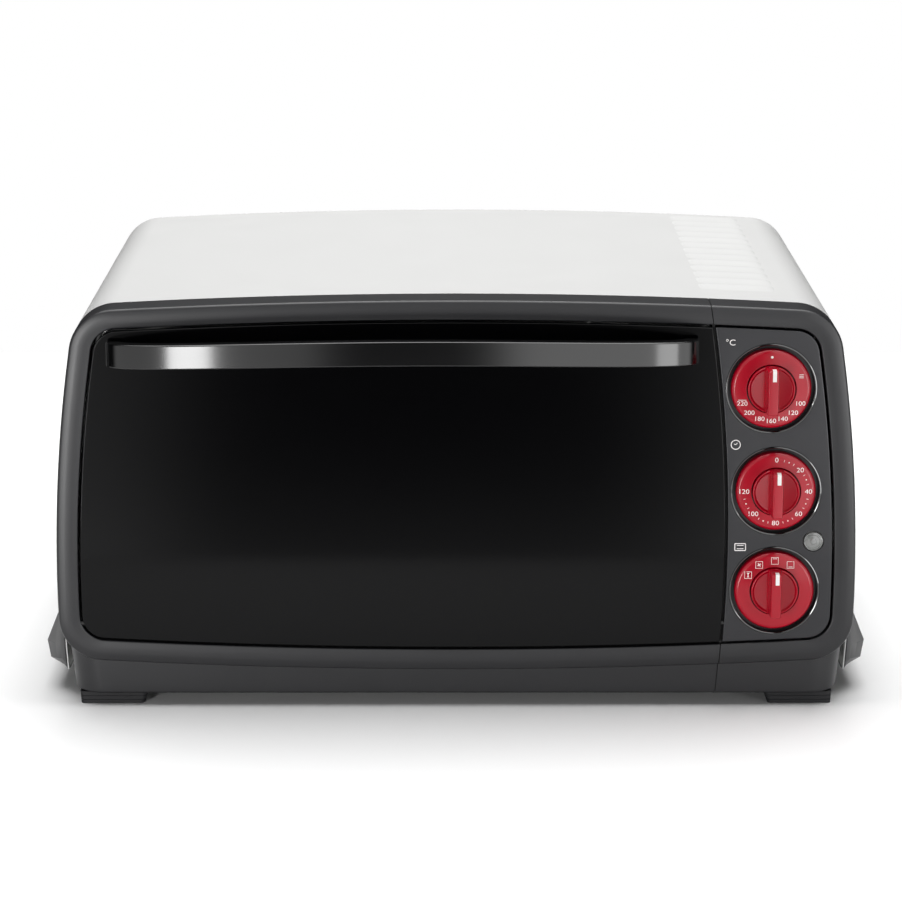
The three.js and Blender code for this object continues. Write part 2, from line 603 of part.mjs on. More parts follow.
/** The control panel: a plate with a skirt, three round wells, and holes for spindles and lamp. */
function controlPanel() {
  const { gap, front, plate, skirt, wall } = PANEL;
  const outer = slab(barrel(openingInset(gap)), front, skirt).intersect(besideSeam(1, DOOR.seamGap));
  const inner = slab(barrel(openingInset(gap + wall)), front + plate, FAR)
    .intersect(besideSeam(1, DOOR.seamGap + wall));
  let panel = outer.subtract(inner);
  const floorBack = WELL.floorY + WELL.floor;
  for (const { x, z } of CONTROLS) {
    panel = panel.add(barY(WELL.radius + WELL.wall, front + 1, floorBack, x, z, 36));
  }
  for (const { x, z } of CONTROLS) {
    panel = panel.subtract(barY(WELL.radius, -5, WELL.floorY, x, z, 36));
    panel = panel.subtract(barY(WELL.hole, -5, 20, x, z, 16));
  }
  panel = panel.subtract(hingeBore(HINGE.rightLeaf, HINGE.rightTip + 1));
  return panel.subtract(barY(LAMP.hole, -5, 20, LAMP.x, LAMP.z, 16));
}

/** The switch, thermostat or timer behind one knob, with the bushing that its spindle turns in. */
function switchBody([width, depth, height]) {
  const { bushing, bushingFront, bodyFront } = SWITCH;
  const body = box(-width / 2, width / 2, bodyFront, bodyFront + depth, -height / 2, height / 2);
  const bore = barY(KNOB.bore, 0, SPINDLE.back + GAP, 0, 0, 12);
  return body.add(barY(bushing, bushingFront, bodyFront + 1, 0, 0, 16)).subtract(bore);
}

/** The fixed red dial round one knob, slightly domed. */
function dial() {
  const { outer, inner, back, rim, crown } = DIAL;
  const face = [[inner, crown], [outer - 4, crown + 0.5], [outer, rim]];
  const profile = [...face, [outer, back], [inner, back], [inner, crown]];
  return turned(profile, 32);
}

/** One knob: a round base with a straight grip across it. */
function knob() {
  const { radius, back, face, gripWidth, gripLength, gripFront, bore } = KNOB;
  const base = turned([[0, face], [radius - 1, face], [radius, face + 1], [radius, back], [0, back]], 32);
  const [w, l, taper] = [gripWidth / 2, gripLength / 2, 1];
  const ringAt = (y, half, end) => [
    new THREE.Vector3(-half, y, -end), new THREE.Vector3(-half, y, end),
    new THREE.Vector3(half, y, end), new THREE.Vector3(half, y, -end),
  ];
  const grip = loft([ringAt(gripFront, w - taper, l - 2 * taper), ringAt(face + 1, w, l)]);
  const band = box(-w - 1, w + 1, DIAL.crown - 1, face + 2, -l - 1, l + 1);
  const clearOfDial = band.subtract(barY(radius, -20, 20, 0, 0, 32));
  return base.add(grip).subtract(clearOfDial).subtract(barY(bore, SPINDLE.front - GAP, 10, 0, 0, 12));
}

const spindle = () => barY(SPINDLE.radius, SPINDLE.front, SPINDLE.back, 0, 0, 12);

function pointer() {
  const { width, length, thickness, centreZ } = POINTER;
  const back = KNOB.gripFront - GAP;
  return box(-width / 2, width / 2, back - thickness, back, centreZ - length / 2, centreZ + length / 2);
}

const pilotLens = () => turned([[0, -1.4], [3.4, -0.9], [LAMP.lens, 0.8], [LAMP.lens, 3.1], [0, 3.1]], 20);
const pilotBody = () => barY(LAMP.body, PANEL.front + PANEL.plate + GAP, 22, 0, 0, 16);

// ------------------------------------------------------------------ supply

const GLAND = { x: 186, z: 40, hole: 8.2, body: 7.8, collar: 11 };

/** The bushing that the supply lead passes through, with a collar outside the back plate. */
function cordGland() {
  const outside = BACK_PANEL.y + BACK_PANEL.thickness + GAP;
  const collar = barY(GLAND.collar, outside, outside + 3, GLAND.x, GLAND.z, 20);
  const barrelPart = barY(GLAND.body, BACK_PANEL.y - 8, outside + 10, GLAND.x, GLAND.z, 20);
  return collar.add(barrelPart).subtract(barY(4, 0, FAR, GLAND.x, GLAND.z, 12));
}

/** A three-way screw terminal block on the base. */
function terminalBlock() {
  const top = BASE_PAN.z + BASE_PAN.sheet + GAP;
  let block = box(160, 200, 262, 280, top, top + 10).add(box(160, 200, 267, 275, top + 9, top + 15));
  for (const x of [167, 180, 193]) {
    const screwHole = new THREE.CylinderGeometry(2.5, 2.5, 12, 10).rotateX(Math.PI / 2);
    block = block.subtract(solidOf(screwHole.translate(x, 271, top + 16)));
  }
  return block;
}

// ------------------------------------------------------------------ assembly

/** A named mesh of one solid in one finish. */
function part(name, solid, material) {
  const mesh = new THREE.Mesh(geometryOf(solid), material);
  mesh.name = name;
  return mesh;
}

function housing() {
  const moulding = frontMoulding();
  const left = moulding.intersect(besideSeam(-1, SEAM.halfGap));
  const group = new THREE.Group();
  group.add(
    part('wrap_cover', wrapCover(), WHITE_PAINT),
    part('back_panel', backPanel(GLAND), SHEET_STEEL),
    part('base_pan', basePan(), SHEET_STEEL),
    part('door_surround', left.subtract(hingeBore(HINGE.leftTip - 1, HINGE.leftLeaf)), GREY_PLASTIC),
    part('control_surround', moulding.intersect(besideSeam(1, SEAM.halfGap)), GREY_PLASTIC),
    part('left_grip', sideGrip(-1), GREY_PLASTIC),
    part('right_grip', sideGrip(1), GREY_PLASTIC),
    part('left_wall_spacer', wallSpacer(-SPACER.x), DARK_PLASTIC),
    part('right_wall_spacer', wallSpacer(SPACER.x), DARK_PLASTIC),
    part('cord_gland', cordGland(), RUBBER),
    part('terminal_block', terminalBlock(), PHENOLIC),
  );
  for (const [end, y] of Object.entries(FOOT_Y)) {
    group.add(part(`${end}_left_foot`, foot(-1, y), DARK_PLASTIC));
    group.add(part(`${end}_right_foot`, foot(1, y), DARK_PLASTIC));
  }
  return group;
}

function cavity() {
  const group = new THREE.Group();
  const { frontY, rearY, upperZ, lowerZ } = ELEMENT;
  const { x, sheet, y0, y1, z0, z1 } = SHIELD;
  group.add(
    part('cavity_liner', cavityLiner(), SHEET_STEEL),
    part('cavity_flange', cavityFlange(), SHEET_STEEL),
    part('heat_shield', box(x, x + sheet, y0, y1, z0, z1), SHEET_STEEL),
    part('upper_front_element', element(frontY, upperZ), ELEMENT_STEEL),
    part('upper_rear_element', element(rearY, upperZ), ELEMENT_STEEL),
    part('lower_front_element', element(frontY, lowerZ), ELEMENT_STEEL),
    part('lower_rear_element', element(rearY, lowerZ), ELEMENT_STEEL),
    part('left_rail', rail(-1), BRIGHT_STEEL),
    part('right_rail', rail(1), BRIGHT_STEEL),
    part('wire_rack', wireRack(), BRIGHT_STEEL),
    part('baking_tray', tray(TRAY), ENAMEL),
    part('crumb_tray', tray(CRUMB_TRAY), SHEET_STEEL),
    part('fan_guard', fanGuard(), SHEET_STEEL),
    part('fan_blade', fanBlade(), BRIGHT_STEEL),
    part('fan_shaft', fanShaft(), BRIGHT_STEEL),
    part('fan_motor', fanMotor(), SHEET_STEEL),
  );
  return group;
}

function door() {
  const group = new THREE.Group();
  group.add(
    part('door_glass', doorGlass(), BLACK_GLASS),
    part('door_frame', doorFrame(), SHEET_STEEL),
    part('door_inner_glass', innerGlass(), CLEAR_GLASS),
    part('door_handle', doorHandle(), BLACK_GLOSS),
    part('left_handle_mount', handleMount(-1), BLACK_GLOSS),
    part('right_handle_mount', handleMount(1), BLACK_GLOSS),
    part('left_hinge', doorHinge(HINGE.leftTip, HINGE.leftLeaf), ENAMEL),
    part('right_hinge', doorHinge(HINGE.rightTip, HINGE.rightLeaf), ENAMEL),
    part('left_door_stay', doorStay(STAY.leftX), BRIGHT_STEEL),
    part('right_door_stay', doorStay(STAY.rightX), BRIGHT_STEEL),
  );
  return group;
}

function controls() {
  const group = new THREE.Group();
  group.add(part('control_panel', controlPanel(), PANEL_PLASTIC));
  for (const { name, switchName, x, z, size } of CONTROLS) {
    const control = new THREE.Group();
    control.position.set(x, 0, z);
    control.add(
      part(`${name}_dial`, dial(), RED_PLASTIC),
      part(`${name}_knob`, knob(), RED_PLASTIC),
      part(`${name}_spindle`, spindle(), BRIGHT_STEEL),
      part(`${name}_pointer`, pointer(), WHITE_PLASTIC),
      part(switchName, switchBody(size), PHENOLIC),
    );
    group.add(control);
  }
  const lamp = new THREE.Group();
  lamp.position.set(LAMP.x, 0, LAMP.z);
  lamp.add(part('pilot_lens', pilotLens(), LENS), part('pilot_lamp_body', pilotBody(), WHITE_PLASTIC));
  group.add(lamp);
  return group;
}

const oven = new THREE.Group();
oven.add(housing(), cavity(), door(), controls());
oven.position.y = (HANDLE.reach - SPACER.end) / 2;

export default oven;
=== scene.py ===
"""A compact toaster oven: the visible skins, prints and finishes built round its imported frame."""

import logging
import math
from dataclasses import dataclass, field
from enum import Enum
from typing import Callable, Sequence

import bmesh
import bpy
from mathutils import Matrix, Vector
from mathutils.geometry import delaunay_2d_cdt


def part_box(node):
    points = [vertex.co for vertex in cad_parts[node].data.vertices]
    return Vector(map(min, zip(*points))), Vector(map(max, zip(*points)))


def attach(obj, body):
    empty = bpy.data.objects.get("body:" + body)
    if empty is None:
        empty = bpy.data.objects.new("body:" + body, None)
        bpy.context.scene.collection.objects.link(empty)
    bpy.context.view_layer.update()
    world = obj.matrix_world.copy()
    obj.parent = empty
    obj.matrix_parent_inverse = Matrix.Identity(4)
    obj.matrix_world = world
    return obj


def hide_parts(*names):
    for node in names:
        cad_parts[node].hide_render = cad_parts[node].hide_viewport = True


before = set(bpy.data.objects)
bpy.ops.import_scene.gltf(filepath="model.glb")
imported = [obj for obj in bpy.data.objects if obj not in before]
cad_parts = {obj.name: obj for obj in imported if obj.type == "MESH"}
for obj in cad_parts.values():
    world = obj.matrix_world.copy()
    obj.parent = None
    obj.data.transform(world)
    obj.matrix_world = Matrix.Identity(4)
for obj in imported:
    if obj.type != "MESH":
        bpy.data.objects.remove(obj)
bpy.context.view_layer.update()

LOG = logging.getLogger("toaster_oven")
MM = 0.001
ROUND = 120                                    # facets round a well, its bezel and its dial
SAME_SPOT = 0.002 * MM                         # points closer than this are merged
SAME_CAD_SPOT = 0.003 * MM
FRONT_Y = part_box("door_surround")[0].y        # the front plane, which every y below is measured back from
Point = tuple[float, float, float]
Outline = list[tuple[float, float]]


# ---------------------------------------------------------------- shader maths

class Wire:
    """A shader socket that does arithmetic: each operator adds a Math node behind it."""

    def __init__(self, tree: bpy.types.NodeTree, socket: bpy.types.NodeSocket) -> None:
        """Wrap a socket of a tree."""
        self.tree = tree
        self.socket = socket

    def _math(self, operation: str, first: "Wire | float", second: "Wire | float") -> "Wire":
        """Add one Math node.

        Args:
            operation: The node's operation.
            first: Its first value or link.
            second: Its second value or link.

        Returns:
            The node's result.
        """
        node = self.tree.nodes.new("ShaderNodeMath")
        node.operation = operation
        for socket, value in zip(node.inputs, (first, second)):
            if isinstance(value, Wire):
                self.tree.links.new(value.socket, socket)
            else:
                socket.default_value = value
        return Wire(self.tree, node.outputs[0])

    def __add__(self, other: "Wire | float") -> "Wire":
        """Sum."""
        return self._math("ADD", self, other)

    def __radd__(self, other: float) -> "Wire":
        """Sum, number first."""
        return self._math("ADD", other, self)

    def __sub__(self, other: "Wire | float") -> "Wire":
        """Difference."""
        return self._math("SUBTRACT", self, other)

    def __rsub__(self, other: float) -> "Wire":
        """Difference, number first."""
        return self._math("SUBTRACT", other, self)

    def __mul__(self, other: "Wire | float") -> "Wire":
        """Product."""
        return self._math("MULTIPLY", self, other)

    def __rmul__(self, other: float) -> "Wire":
        """Product, number first."""
        return self._math("MULTIPLY", other, self)


@dataclass
class Shader:
    """One material's node tree, ready for a Principled shader's sockets to be fed."""

    name: str

    def __post_init__(self) -> None:
        """Make the material with its Principled shader."""
        self.material = bpy.data.materials.new(self.name)
        self.material.use_nodes = True
        self.tree = self.material.node_tree
        self.principled = self.tree.nodes["Principled BSDF"]

    def node(
        self, kind: str, settings: dict[str, object] | None = None, output: int | str = 0, **values: object,
    ) -> Wire:
        """Add a node.

        Args:
            kind: The node's type, without the ShaderNode prefix.
            settings: Properties that are set before its sockets.
            output: The output to return, by name or number.
            **values: Sockets by name, with underscores for spaces, as numbers, tuples or wires.

        Returns:
            The chosen output.
        """
        node = self.tree.nodes.new("ShaderNode" + kind)
        for key, value in (settings or {}).items():
            setattr(node, key, value)
        for key, value in values.items():
            self.feed(node.inputs[key.replace("_", " ")], value)
        return Wire(self.tree, node.outputs[output])

    def feed(self, socket: bpy.types.NodeSocket, value: object) -> None:
        """Set a socket's value, or link a wire to it."""
        if isinstance(value, Wire):
            self.tree.links.new(value.socket, socket)
        else:
            socket.default_value = value

    def set(self, **values: object) -> None:
        """Feed the Principled shader's sockets by name."""
        for key, value in values.items():
            self.feed(self.principled.inputs[key.replace("_", " ")], value)

    def noise(self, cell_mm: float, stretch: Point = (1.0, 1.0, 1.0), detail: float = 3.0) -> Wire:
        """Noise about 0.5 in object space.

        Args:
            cell_mm: The size of one blot.
            stretch: How much finer the pattern is along each axis.
            detail: Octaves of detail.

        Returns:
            The noise value.
        """
        place = self.node("TexCoord", output="Object")
        scaled = self.node("Mapping", Vector=place, Scale=stretch)
        return self.node("TexNoise", Vector=scaled, Scale=1.0 / (cell_mm * MM), Detail=detail)

    def shade(self, low: Sequence[float], high: Sequence[float], factor: Wire) -> Wire:
        """A colour between two, by a factor."""
        mix = self.tree.nodes.new("ShaderNodeMix")
        mix.data_type = "RGBA"
        self.feed(mix.inputs["Factor"], factor)
        mix.inputs["A"].default_value = (*low, 1.0)
        mix.inputs["B"].default_value = (*high, 1.0)
        return Wire(self.tree, mix.outputs["Result"])


def linear(*screen: int) -> tuple[float, float, float]:
    """A colour in linear light from its 8-bit screen values."""
    def one(value: int) -> float:
        """One channel."""
        share = value / 255
        return share / 12.92 if share <= 0.04045 else ((share + 0.055) / 1.055) ** 2.4
    red, green, blue = screen
    return one(red), one(green), one(blue)


class Grain(Enum):
    """How a surface's fine relief runs, as the stretch of its noise along each axis."""

    SMOOTH = (1.0, 1.0, 1.0)
    BRUSHED_X = (0.02, 1.0, 1.0)


@dataclass(frozen=True)
class Finish:
    """One finish: its colour, gloss and the size and depth of its fine relief."""

    name: str
    colour: tuple[float, float, float]
    roughness: float
    metallic: float = 0.0
    coat: float = 0.0
    coat_roughness: float = 0.05
    specular: float = 0.5
    grain: Grain = Grain.SMOOTH
    grain_mm: float = 0.5
    relief_mm: float = 0.01
    relief_strength: float = 0.25
    mottle: float = 0.06
    mottle_mm: float = 30.0
    rough_swing: float = 0.05
    alpha: float = 1.0
    transmission: float = 0.0

    def material(self) -> bpy.types.Material:
        """The finish as a material, made once."""
        made = bpy.data.materials.get(self.name + "_finish")
        return made if made else self._build()

    def _build(self) -> bpy.types.Material:
        """Make the node tree."""
        shader = Shader(self.name + "_finish")
        cloud = shader.noise(self.mottle_mm)
        fine = shader.noise(self.grain_mm, self.grain.value, detail=4.0)
        low = [channel * (1 - self.mottle) for channel in self.colour]
        high = [min(1.0, channel * (1 + self.mottle)) for channel in self.colour]
        depth = self.relief_mm * MM
        bump = shader.node("Bump", Height=fine, Strength=self.relief_strength, Distance=depth)
        shader.set(
            Base_Color=shader.shade(low, high, cloud),
            Roughness=self.roughness + (cloud + fine - 1.0) * self.rough_swing,
            Metallic=self.metallic,
            Coat_Weight=self.coat,
            Coat_Roughness=self.coat_roughness,
            Specular_IOR_Level=self.specular,
            Normal=bump,
            Alpha=self.alpha,
            Transmission_Weight=self.transmission,
        )
        return shader.material


WHITE_ENAMEL = Finish(
    "white_enamel", linear(214, 214, 213), 0.32, coat=0.2, grain_mm=1.6, relief_mm=0.02, mottle=0.01,
)
GREY_MOULDING = Finish(
    "grey_moulding", linear(34, 34, 36), 0.36, grain_mm=0.35, relief_mm=0.02, specular=0.35,
)
DARK_MOULDING = Finish(
    "dark_moulding", linear(24, 24, 26), 0.55, grain_mm=0.4, relief_mm=0.03, specular=0.3,
)
PANEL_MOULDING = Finish(
    "panel_moulding", linear(38, 38, 41), 0.3, grain_mm=0.3, relief_mm=0.012, specular=0.35,
)
DARK_GLASS = Finish(
    "dark_glass", linear(4, 4, 5), 0.09,
    relief_strength=0.0, rough_swing=0.01, specular=0.15, mottle=0.03,
)
CLEAR_GLASS = Finish(
    "clear_glass", (0.8, 0.85, 0.83), 0.04, transmission=0.9, alpha=0.4, relief_strength=0.0,
)
GLOSS_BLACK = Finish(
    "gloss_black", linear(4, 4, 5), 0.13, relief_mm=0.003, rough_swing=0.02, specular=0.5,
)
BEZEL_BLACK = Finish("bezel_black", linear(8, 8, 9), 0.08, coat=0.8, relief_mm=0.002, rough_swing=0.02)
RED_PLASTIC = Finish(
    "red_plastic", linear(168, 0, 30), 0.22,
    coat=0.15, grain_mm=0.3, relief_mm=0.004, mottle=0.04, specular=0.3,
)
WHITE_PRINT = Finish(
    "white_print", linear(250, 246, 244), 0.45, relief_strength=0.1, mottle=0.02, specular=0.2,
)
WHITE_PLASTIC = Finish("white_plastic", linear(244, 242, 240), 0.3, mottle=0.02)
LAMP_LENS = Finish(
    "lamp_lens", linear(118, 120, 118), 0.14, coat=1.0, grain_mm=1.2, relief_mm=0.2, relief_strength=0.6,
)
SHEET_STEEL = Finish(
    "sheet_steel", linear(176, 177, 175), 0.34, metallic=0.95, grain=Grain.BRUSHED_X, grain_mm=0.25,
    relief_mm=0.004, mottle=0.12, mottle_mm=9.0, rough_swing=0.14,
)
BRIGHT_STEEL = Finish(
    "bright_steel", linear(200, 201, 203), 0.16, metallic=1.0, mottle=0.05, relief_mm=0.002,
)
ELEMENT_STEEL = Finish(
    "element_steel", linear(92, 84, 76), 0.45, metallic=0.8, mottle=0.25, mottle_mm=12.0,
)
BLACK_ENAMEL = Finish(
    "black_enamel", linear(26, 27, 32), 0.16, coat=0.8, grain_mm=2.5, relief_mm=0.03, mottle=0.1,
)
RUBBER = Finish("rubber", linear(30, 30, 30), 0.75, grain_mm=0.5, relief_mm=0.04)
PHENOLIC = Finish("phenolic", linear(82, 62, 46), 0.5, mottle=0.12, mottle_mm=4.0)
DEEP_BLACK = Finish("deep_black", linear(14, 14, 14), 0.7, mottle=0.02)
SLOT_SHADE = Finish("slot_shade", linear(92, 92, 91), 0.7, mottle=0.02)


# ---------------------------------------------------------------- mesh work

def place(points: Sequence[Point]) -> list[Vector]:
    """Points in millimetres behind the front plane, as vectors in the row frame."""
    return [Vector((x * MM, y * MM + FRONT_Y, z * MM)) for x, y, z in points]


def put(name: str, data: bpy.types.ID) -> bpy.types.Object:
    """An object of some data, put in the scene."""
    made = bpy.data.objects.new(name, data)
    bpy.context.scene.collection.objects.link(made)
    return made


def soften(piece: bpy.types.Object, width_mm: float, segments: int, angle: float) -> None:
    """Bevel a piece's edges.

    Args:
        piece: The piece.
        width_mm: The bevel's width.
        segments: The facets across it.
        angle: Edges sharper than this many degrees are bevelled.
    """
    bevel = piece.modifiers.new("soft_edges", "BEVEL")
    bevel.width = width_mm * MM
    bevel.segments = segments
    bevel.limit_method = "ANGLE"
    bevel.angle_limit = math.radians(angle)


def settle(
    name: str, mesh: bpy.types.Mesh, finish: Finish, body: str, replaces: Sequence[str] = (),
    slot: str | None = None, sharp: float = 32.0, soft_mm: float = 0.0,
) -> bpy.types.Object:
    """Merge a mesh's doubles, turn its faces outwards and hang it on a body.

    Args:
        name: The piece's name.
        mesh: Its mesh, already in the row frame.
        finish: The finish it takes.
        body: The body that it moves with.
        replaces: CAD nodes that it stands for.
        slot: The material slot, if not the finish's name; not used.
        sharp: Edges sharper than this many degrees stay crisp.
        soft_mm: The width of a bevel along its corners, if any.

    Returns:
        The object.
    """
    work = bmesh.new()
    work.from_mesh(mesh)
    bmesh.ops.remove_doubles(work, verts=work.verts, dist=SAME_SPOT)
    bmesh.ops.recalc_face_normals(work, faces=work.faces)
    work.to_mesh(mesh)
    work.free()
    mesh.shade_smooth()
    mesh.set_sharp_from_angle(angle=math.radians(sharp))
    mesh.materials.clear()
    mesh.materials.append(finish.material())
    piece = put(name, mesh)
    if soft_mm:
        soften(piece, soft_mm, segments=3, angle=24)
    piece.modifiers.new("even_normals", "WEIGHTED_NORMAL").keep_sharp = True
    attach(piece, body)
    if replaces:
        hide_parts(*replaces)
    LOG.info("%s rides on %s with %d faces", name, body, len(mesh.polygons))
    return piece


@dataclass
class Patch:
    """Vertices and faces being gathered for one piece."""

    points: list[Point] = field(default_factory=list)
    faces: list[list[int]] = field(default_factory=list)

    def skin(
        self, loops: Sequence[Sequence[Point]], around: bool = True, along: bool = False, caps: bool = False,
    ) -> "Patch":
        """Join loops of equal length with quads.

        Args:
            loops: The loops, in order.
            around: Whether each loop closes on itself.
            along: Whether the last loop joins the first.
            caps: Whether the first and last loops are filled.

        Returns:
            The patch itself.
        """
        base, count, total = len(self.points), len(loops[0]), len(loops)
        for loop in loops:
            self.points.extend(loop)
        for row in range(total if along else total - 1):
            below, above = base + row * count, base + ((row + 1) % total) * count
            for i in range(count if around else count - 1):
                j = (i + 1) % count
                self.faces.append([below + i, below + j, above + j, above + i])
        if caps:
            self.faces.append(list(range(base, base + count)))
            self.faces.append(list(range(base + (total - 1) * count, base + total * count)))
        return self

    def strip(self, loops: Sequence[Sequence[Point]]) -> "Patch":
        """Carry a closed profile along a path, one loop to each of its points, and fill both ends."""
        self.skin(loops, around=False, along=True)
        for end in (0, -1):
            base = len(self.points)
            self.points.extend(loop[end] for loop in loops)
            self.faces.append(list(range(base, base + len(loops))))
        return self

    def mesh(self, name: str) -> bpy.types.Mesh:
        """The patch, in millimetres behind the front plane, as a mesh in the row frame."""
        made = bpy.data.meshes.new(name)
        made.from_pydata(place(self.points), [], self.faces)
        return made

    def piece(self, name: str, finish: Finish, body: str, **more: object) -> bpy.types.Object:
        """The patch as a piece; see settle."""
        return settle(name, self.mesh(name), finish, body, **more)


def dress(node: str, finish: Finish, bevel_mm: float = 0.0) -> None:
    """Give a CAD node its finish, and soften its edges.

    Args:
        node: The node's name.
        finish: The finish it takes.
        bevel_mm: The width of its softened edges.
    """
    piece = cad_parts[node]
    piece.data.materials.clear()
    piece.data.materials.append(finish.material())
    weld = piece.modifiers.new("weld", "WELD")
    weld.merge_threshold = SAME_CAD_SPOT
    if bevel_mm:
        soften(piece, bevel_mm, segments=2, angle=40)
    piece.data.shade_smooth()
    piece.modifiers.new("even_normals", "WEIGHTED_NORMAL").keep_sharp = False
    LOG.info("%s dressed as %s", node, finish.name)


def arc(centre: tuple[float, float], radius: float, start: float, end: float, steps: int) -> Outline:
    """Points along an arc, both ends included, with angles in degrees."""
    angles = [math.radians(start + (end - start) * i / steps) for i in range(steps + 1)]
    return [(centre[0] + radius * math.cos(a), centre[1] + radius * math.sin(a)) for a in angles]


def circle(centre: tuple[float, float], radius: float, steps: int) -> Outline:
    """Points evenly round a whole circle."""
    return arc(centre, radius, 0, 360 - 360 / steps, steps - 1)


def rounded(half_wide: float, half_high: float, radius: float, steps: int = 5) -> Outline:
    """A rectangle about the origin, with rounded corners."""
    w, h = half_wide - radius, half_high - radius
    path = []
    for turn, corner in enumerate(((w, h), (-w, h), (-w, -h), (w, -h))):
        path += arc(corner, radius, 90 * turn, 90 * turn + 90, steps)
    return path


def box_of(x0: float, z0: float, x1: float, z1: float) -> Outline:
    """An upright rectangle between two corners."""
    return [(x0, z0), (x1, z0), (x1, z1), (x0, z1)]


def at_depth(outline: Outline, y: float) -> list[Point]:
    """An (x, z) outline's points at one depth."""
    return [(x, y, z) for x, z in outline]


def turned(profile: Outline, x: float, z: float, segments: int = 96) -> Patch:
    """A closed solid turned about a line along Y.

    Args:
        profile: (radius, y) points; the first and last lie on the axis, or the profile closes on itself.
        x: The axis's place.
        z: The axis's height.
        segments: Facets round the turn.

    Returns:
        The patch.
    """
    turn = [2 * math.pi * i / segments for i in range(segments)]
    loops = [[(x + r * math.sin(a), y, z + r * math.cos(a)) for a in turn] for r, y in profile]
    on_axis = profile[0][0] == 0 and profile[-1][0] == 0
    return Patch().skin(loops, along=not on_axis)


def flat_patch(outline: Outline, holes: Sequence[Outline], step: float) -> tuple[Outline, list[list[int]]]:
    """Triangulate a flat region with holes, with a grid of inner points that keeps its triangles compact.

    Args:
        outline: The outer boundary.
        holes: The boundaries of its holes.
        step: The grid's spacing.

    Returns:
        The vertices and the triangles.
    """
    rings = [outline, *holes]
    vertices: Outline = [p for ring in rings for p in ring]
    edges: list[tuple[int, int]] = []
    start = 0
    for ring in rings:
        edges += [(start + i, start + (i + 1) % len(ring)) for i in range(len(ring))]
        start += len(ring)
    xs, zs = [p[0] for p in outline], [p[1] for p in outline]
    for i in range(int((max(xs) - min(xs)) / step)):
        for j in range(int((max(zs) - min(zs)) / step)):
            spot = (min(xs) + (i + 0.5) * step, min(zs) + (j + 0.5) * step)
            apart = min(math.dist(spot, p) for p in vertices[:start])
            if apart > step * 0.4 and inside(spot, outline) and not any(inside(spot, h) for h in holes):
                vertices.append(spot)
    found, _, triangles, *_ = delaunay_2d_cdt([Vector(v) for v in vertices], edges, [], 0, 1e-6)
    kept = []
    for triangle in triangles:
        middle = sum((found[i] for i in triangle), Vector((0, 0))) / 3
        if inside(middle, outline) and not any(inside(middle, hole) for hole in holes):
            kept.append(list(triangle))
    return [(p.x, p.y) for p in found], kept


def inside(spot: Sequence[float], ring: Outline) -> bool:
    """Whether a point lies in a closed outline."""
    hit = False
    for (ax, az), (bx, bz) in zip(ring, ring[1:] + ring[:1]):
        if (az > spot[1]) != (bz > spot[1]) and spot[0] < ax + (bx - ax) * (spot[1] - az) / (bz - az):
            hit = not hit
    return hit


# ---------------------------------------------------------------- repeats by geometry nodes

class Tree:
    """A geometry node tree with named inputs, run once on a holder object that is then removed."""

    def __init__(self, name: str) -> None:
        """Make the tree with one geometry output."""
        self.tree = bpy.data.node_groups.new(name, "GeometryNodeTree")
        self.tree.interface.new_socket("Geometry", in_out="OUTPUT", socket_type="NodeSocketGeometry")
        self.values: dict[str, object] = {}
        self.source: bpy.types.Node | None = None

    def input(self, name: str, kind: str, value: object) -> bpy.types.NodeSocket:
        """Add a named input.

        Args:
            name: The input's name.
            kind: Its socket type, such as Float, Int, Vector, Object or Material.
            value: The value that the modifier gives it.

        Returns:
            The socket to link from.
        """
        item = self.tree.interface.new_socket(name, in_out="INPUT", socket_type="NodeSocket" + kind)
        self.values[item.identifier] = value
        self.source = self.source or self.tree.nodes.new("NodeGroupInput")
        return self.source.outputs[name]

    def node(self, kind: str, settings: dict[str, object] | None = None, **links: object) -> bpy.types.Node:
        """Add a node.

        Args:
            kind: The node's type, without its GeometryNode prefix, or in full for another family.
            settings: Properties that are set first.
            **links: Sockets by name, with underscores for spaces, as values or sockets.

        Returns:
            The node.
        """
        full = kind if kind.startswith(("Shader", "Function")) else "GeometryNode" + kind
        node = self.tree.nodes.new(full)
        for key, value in (settings or {}).items():
            setattr(node, key, value)
        for key, value in links.items():
            socket = node.inputs[key.replace("_", " ")]
            if isinstance(value, bpy.types.NodeSocket):
                self.tree.links.new(value, socket)
            else:
                socket.default_value = value
        return node

    def mesh(self, name: str, geometry: bpy.types.NodeSocket, finish: Finish) -> bpy.types.Mesh:
        """Realize the tree's geometry in a finish and return it as a plain mesh.

        Args:
            name: The mesh's name.
            geometry: The socket that ends the tree.
            finish: Its finish.

        Returns:
            The mesh.
        """
        real = self.node("RealizeInstances", Geometry=geometry)
        material = self.input("Finish", "Material", finish.material())
        painted = self.node("SetMaterial", Geometry=real.outputs[0], Material=material)
        end = self.tree.nodes.new("NodeGroupOutput")
        self.tree.links.new(painted.outputs[0], end.inputs[0])
        holder = put(name + "_holder", bpy.data.meshes.new(name + "_holder"))
        modifier = holder.modifiers.new("nodes", "NODES")
        modifier.node_group = self.tree
        for identifier, value in self.values.items():
            modifier[identifier] = value
        shown = holder.evaluated_get(bpy.context.evaluated_depsgraph_get())
        mesh = bpy.data.meshes.new_from_object(shown)
        mesh.name = name
        bpy.data.objects.remove(holder)
        return mesh


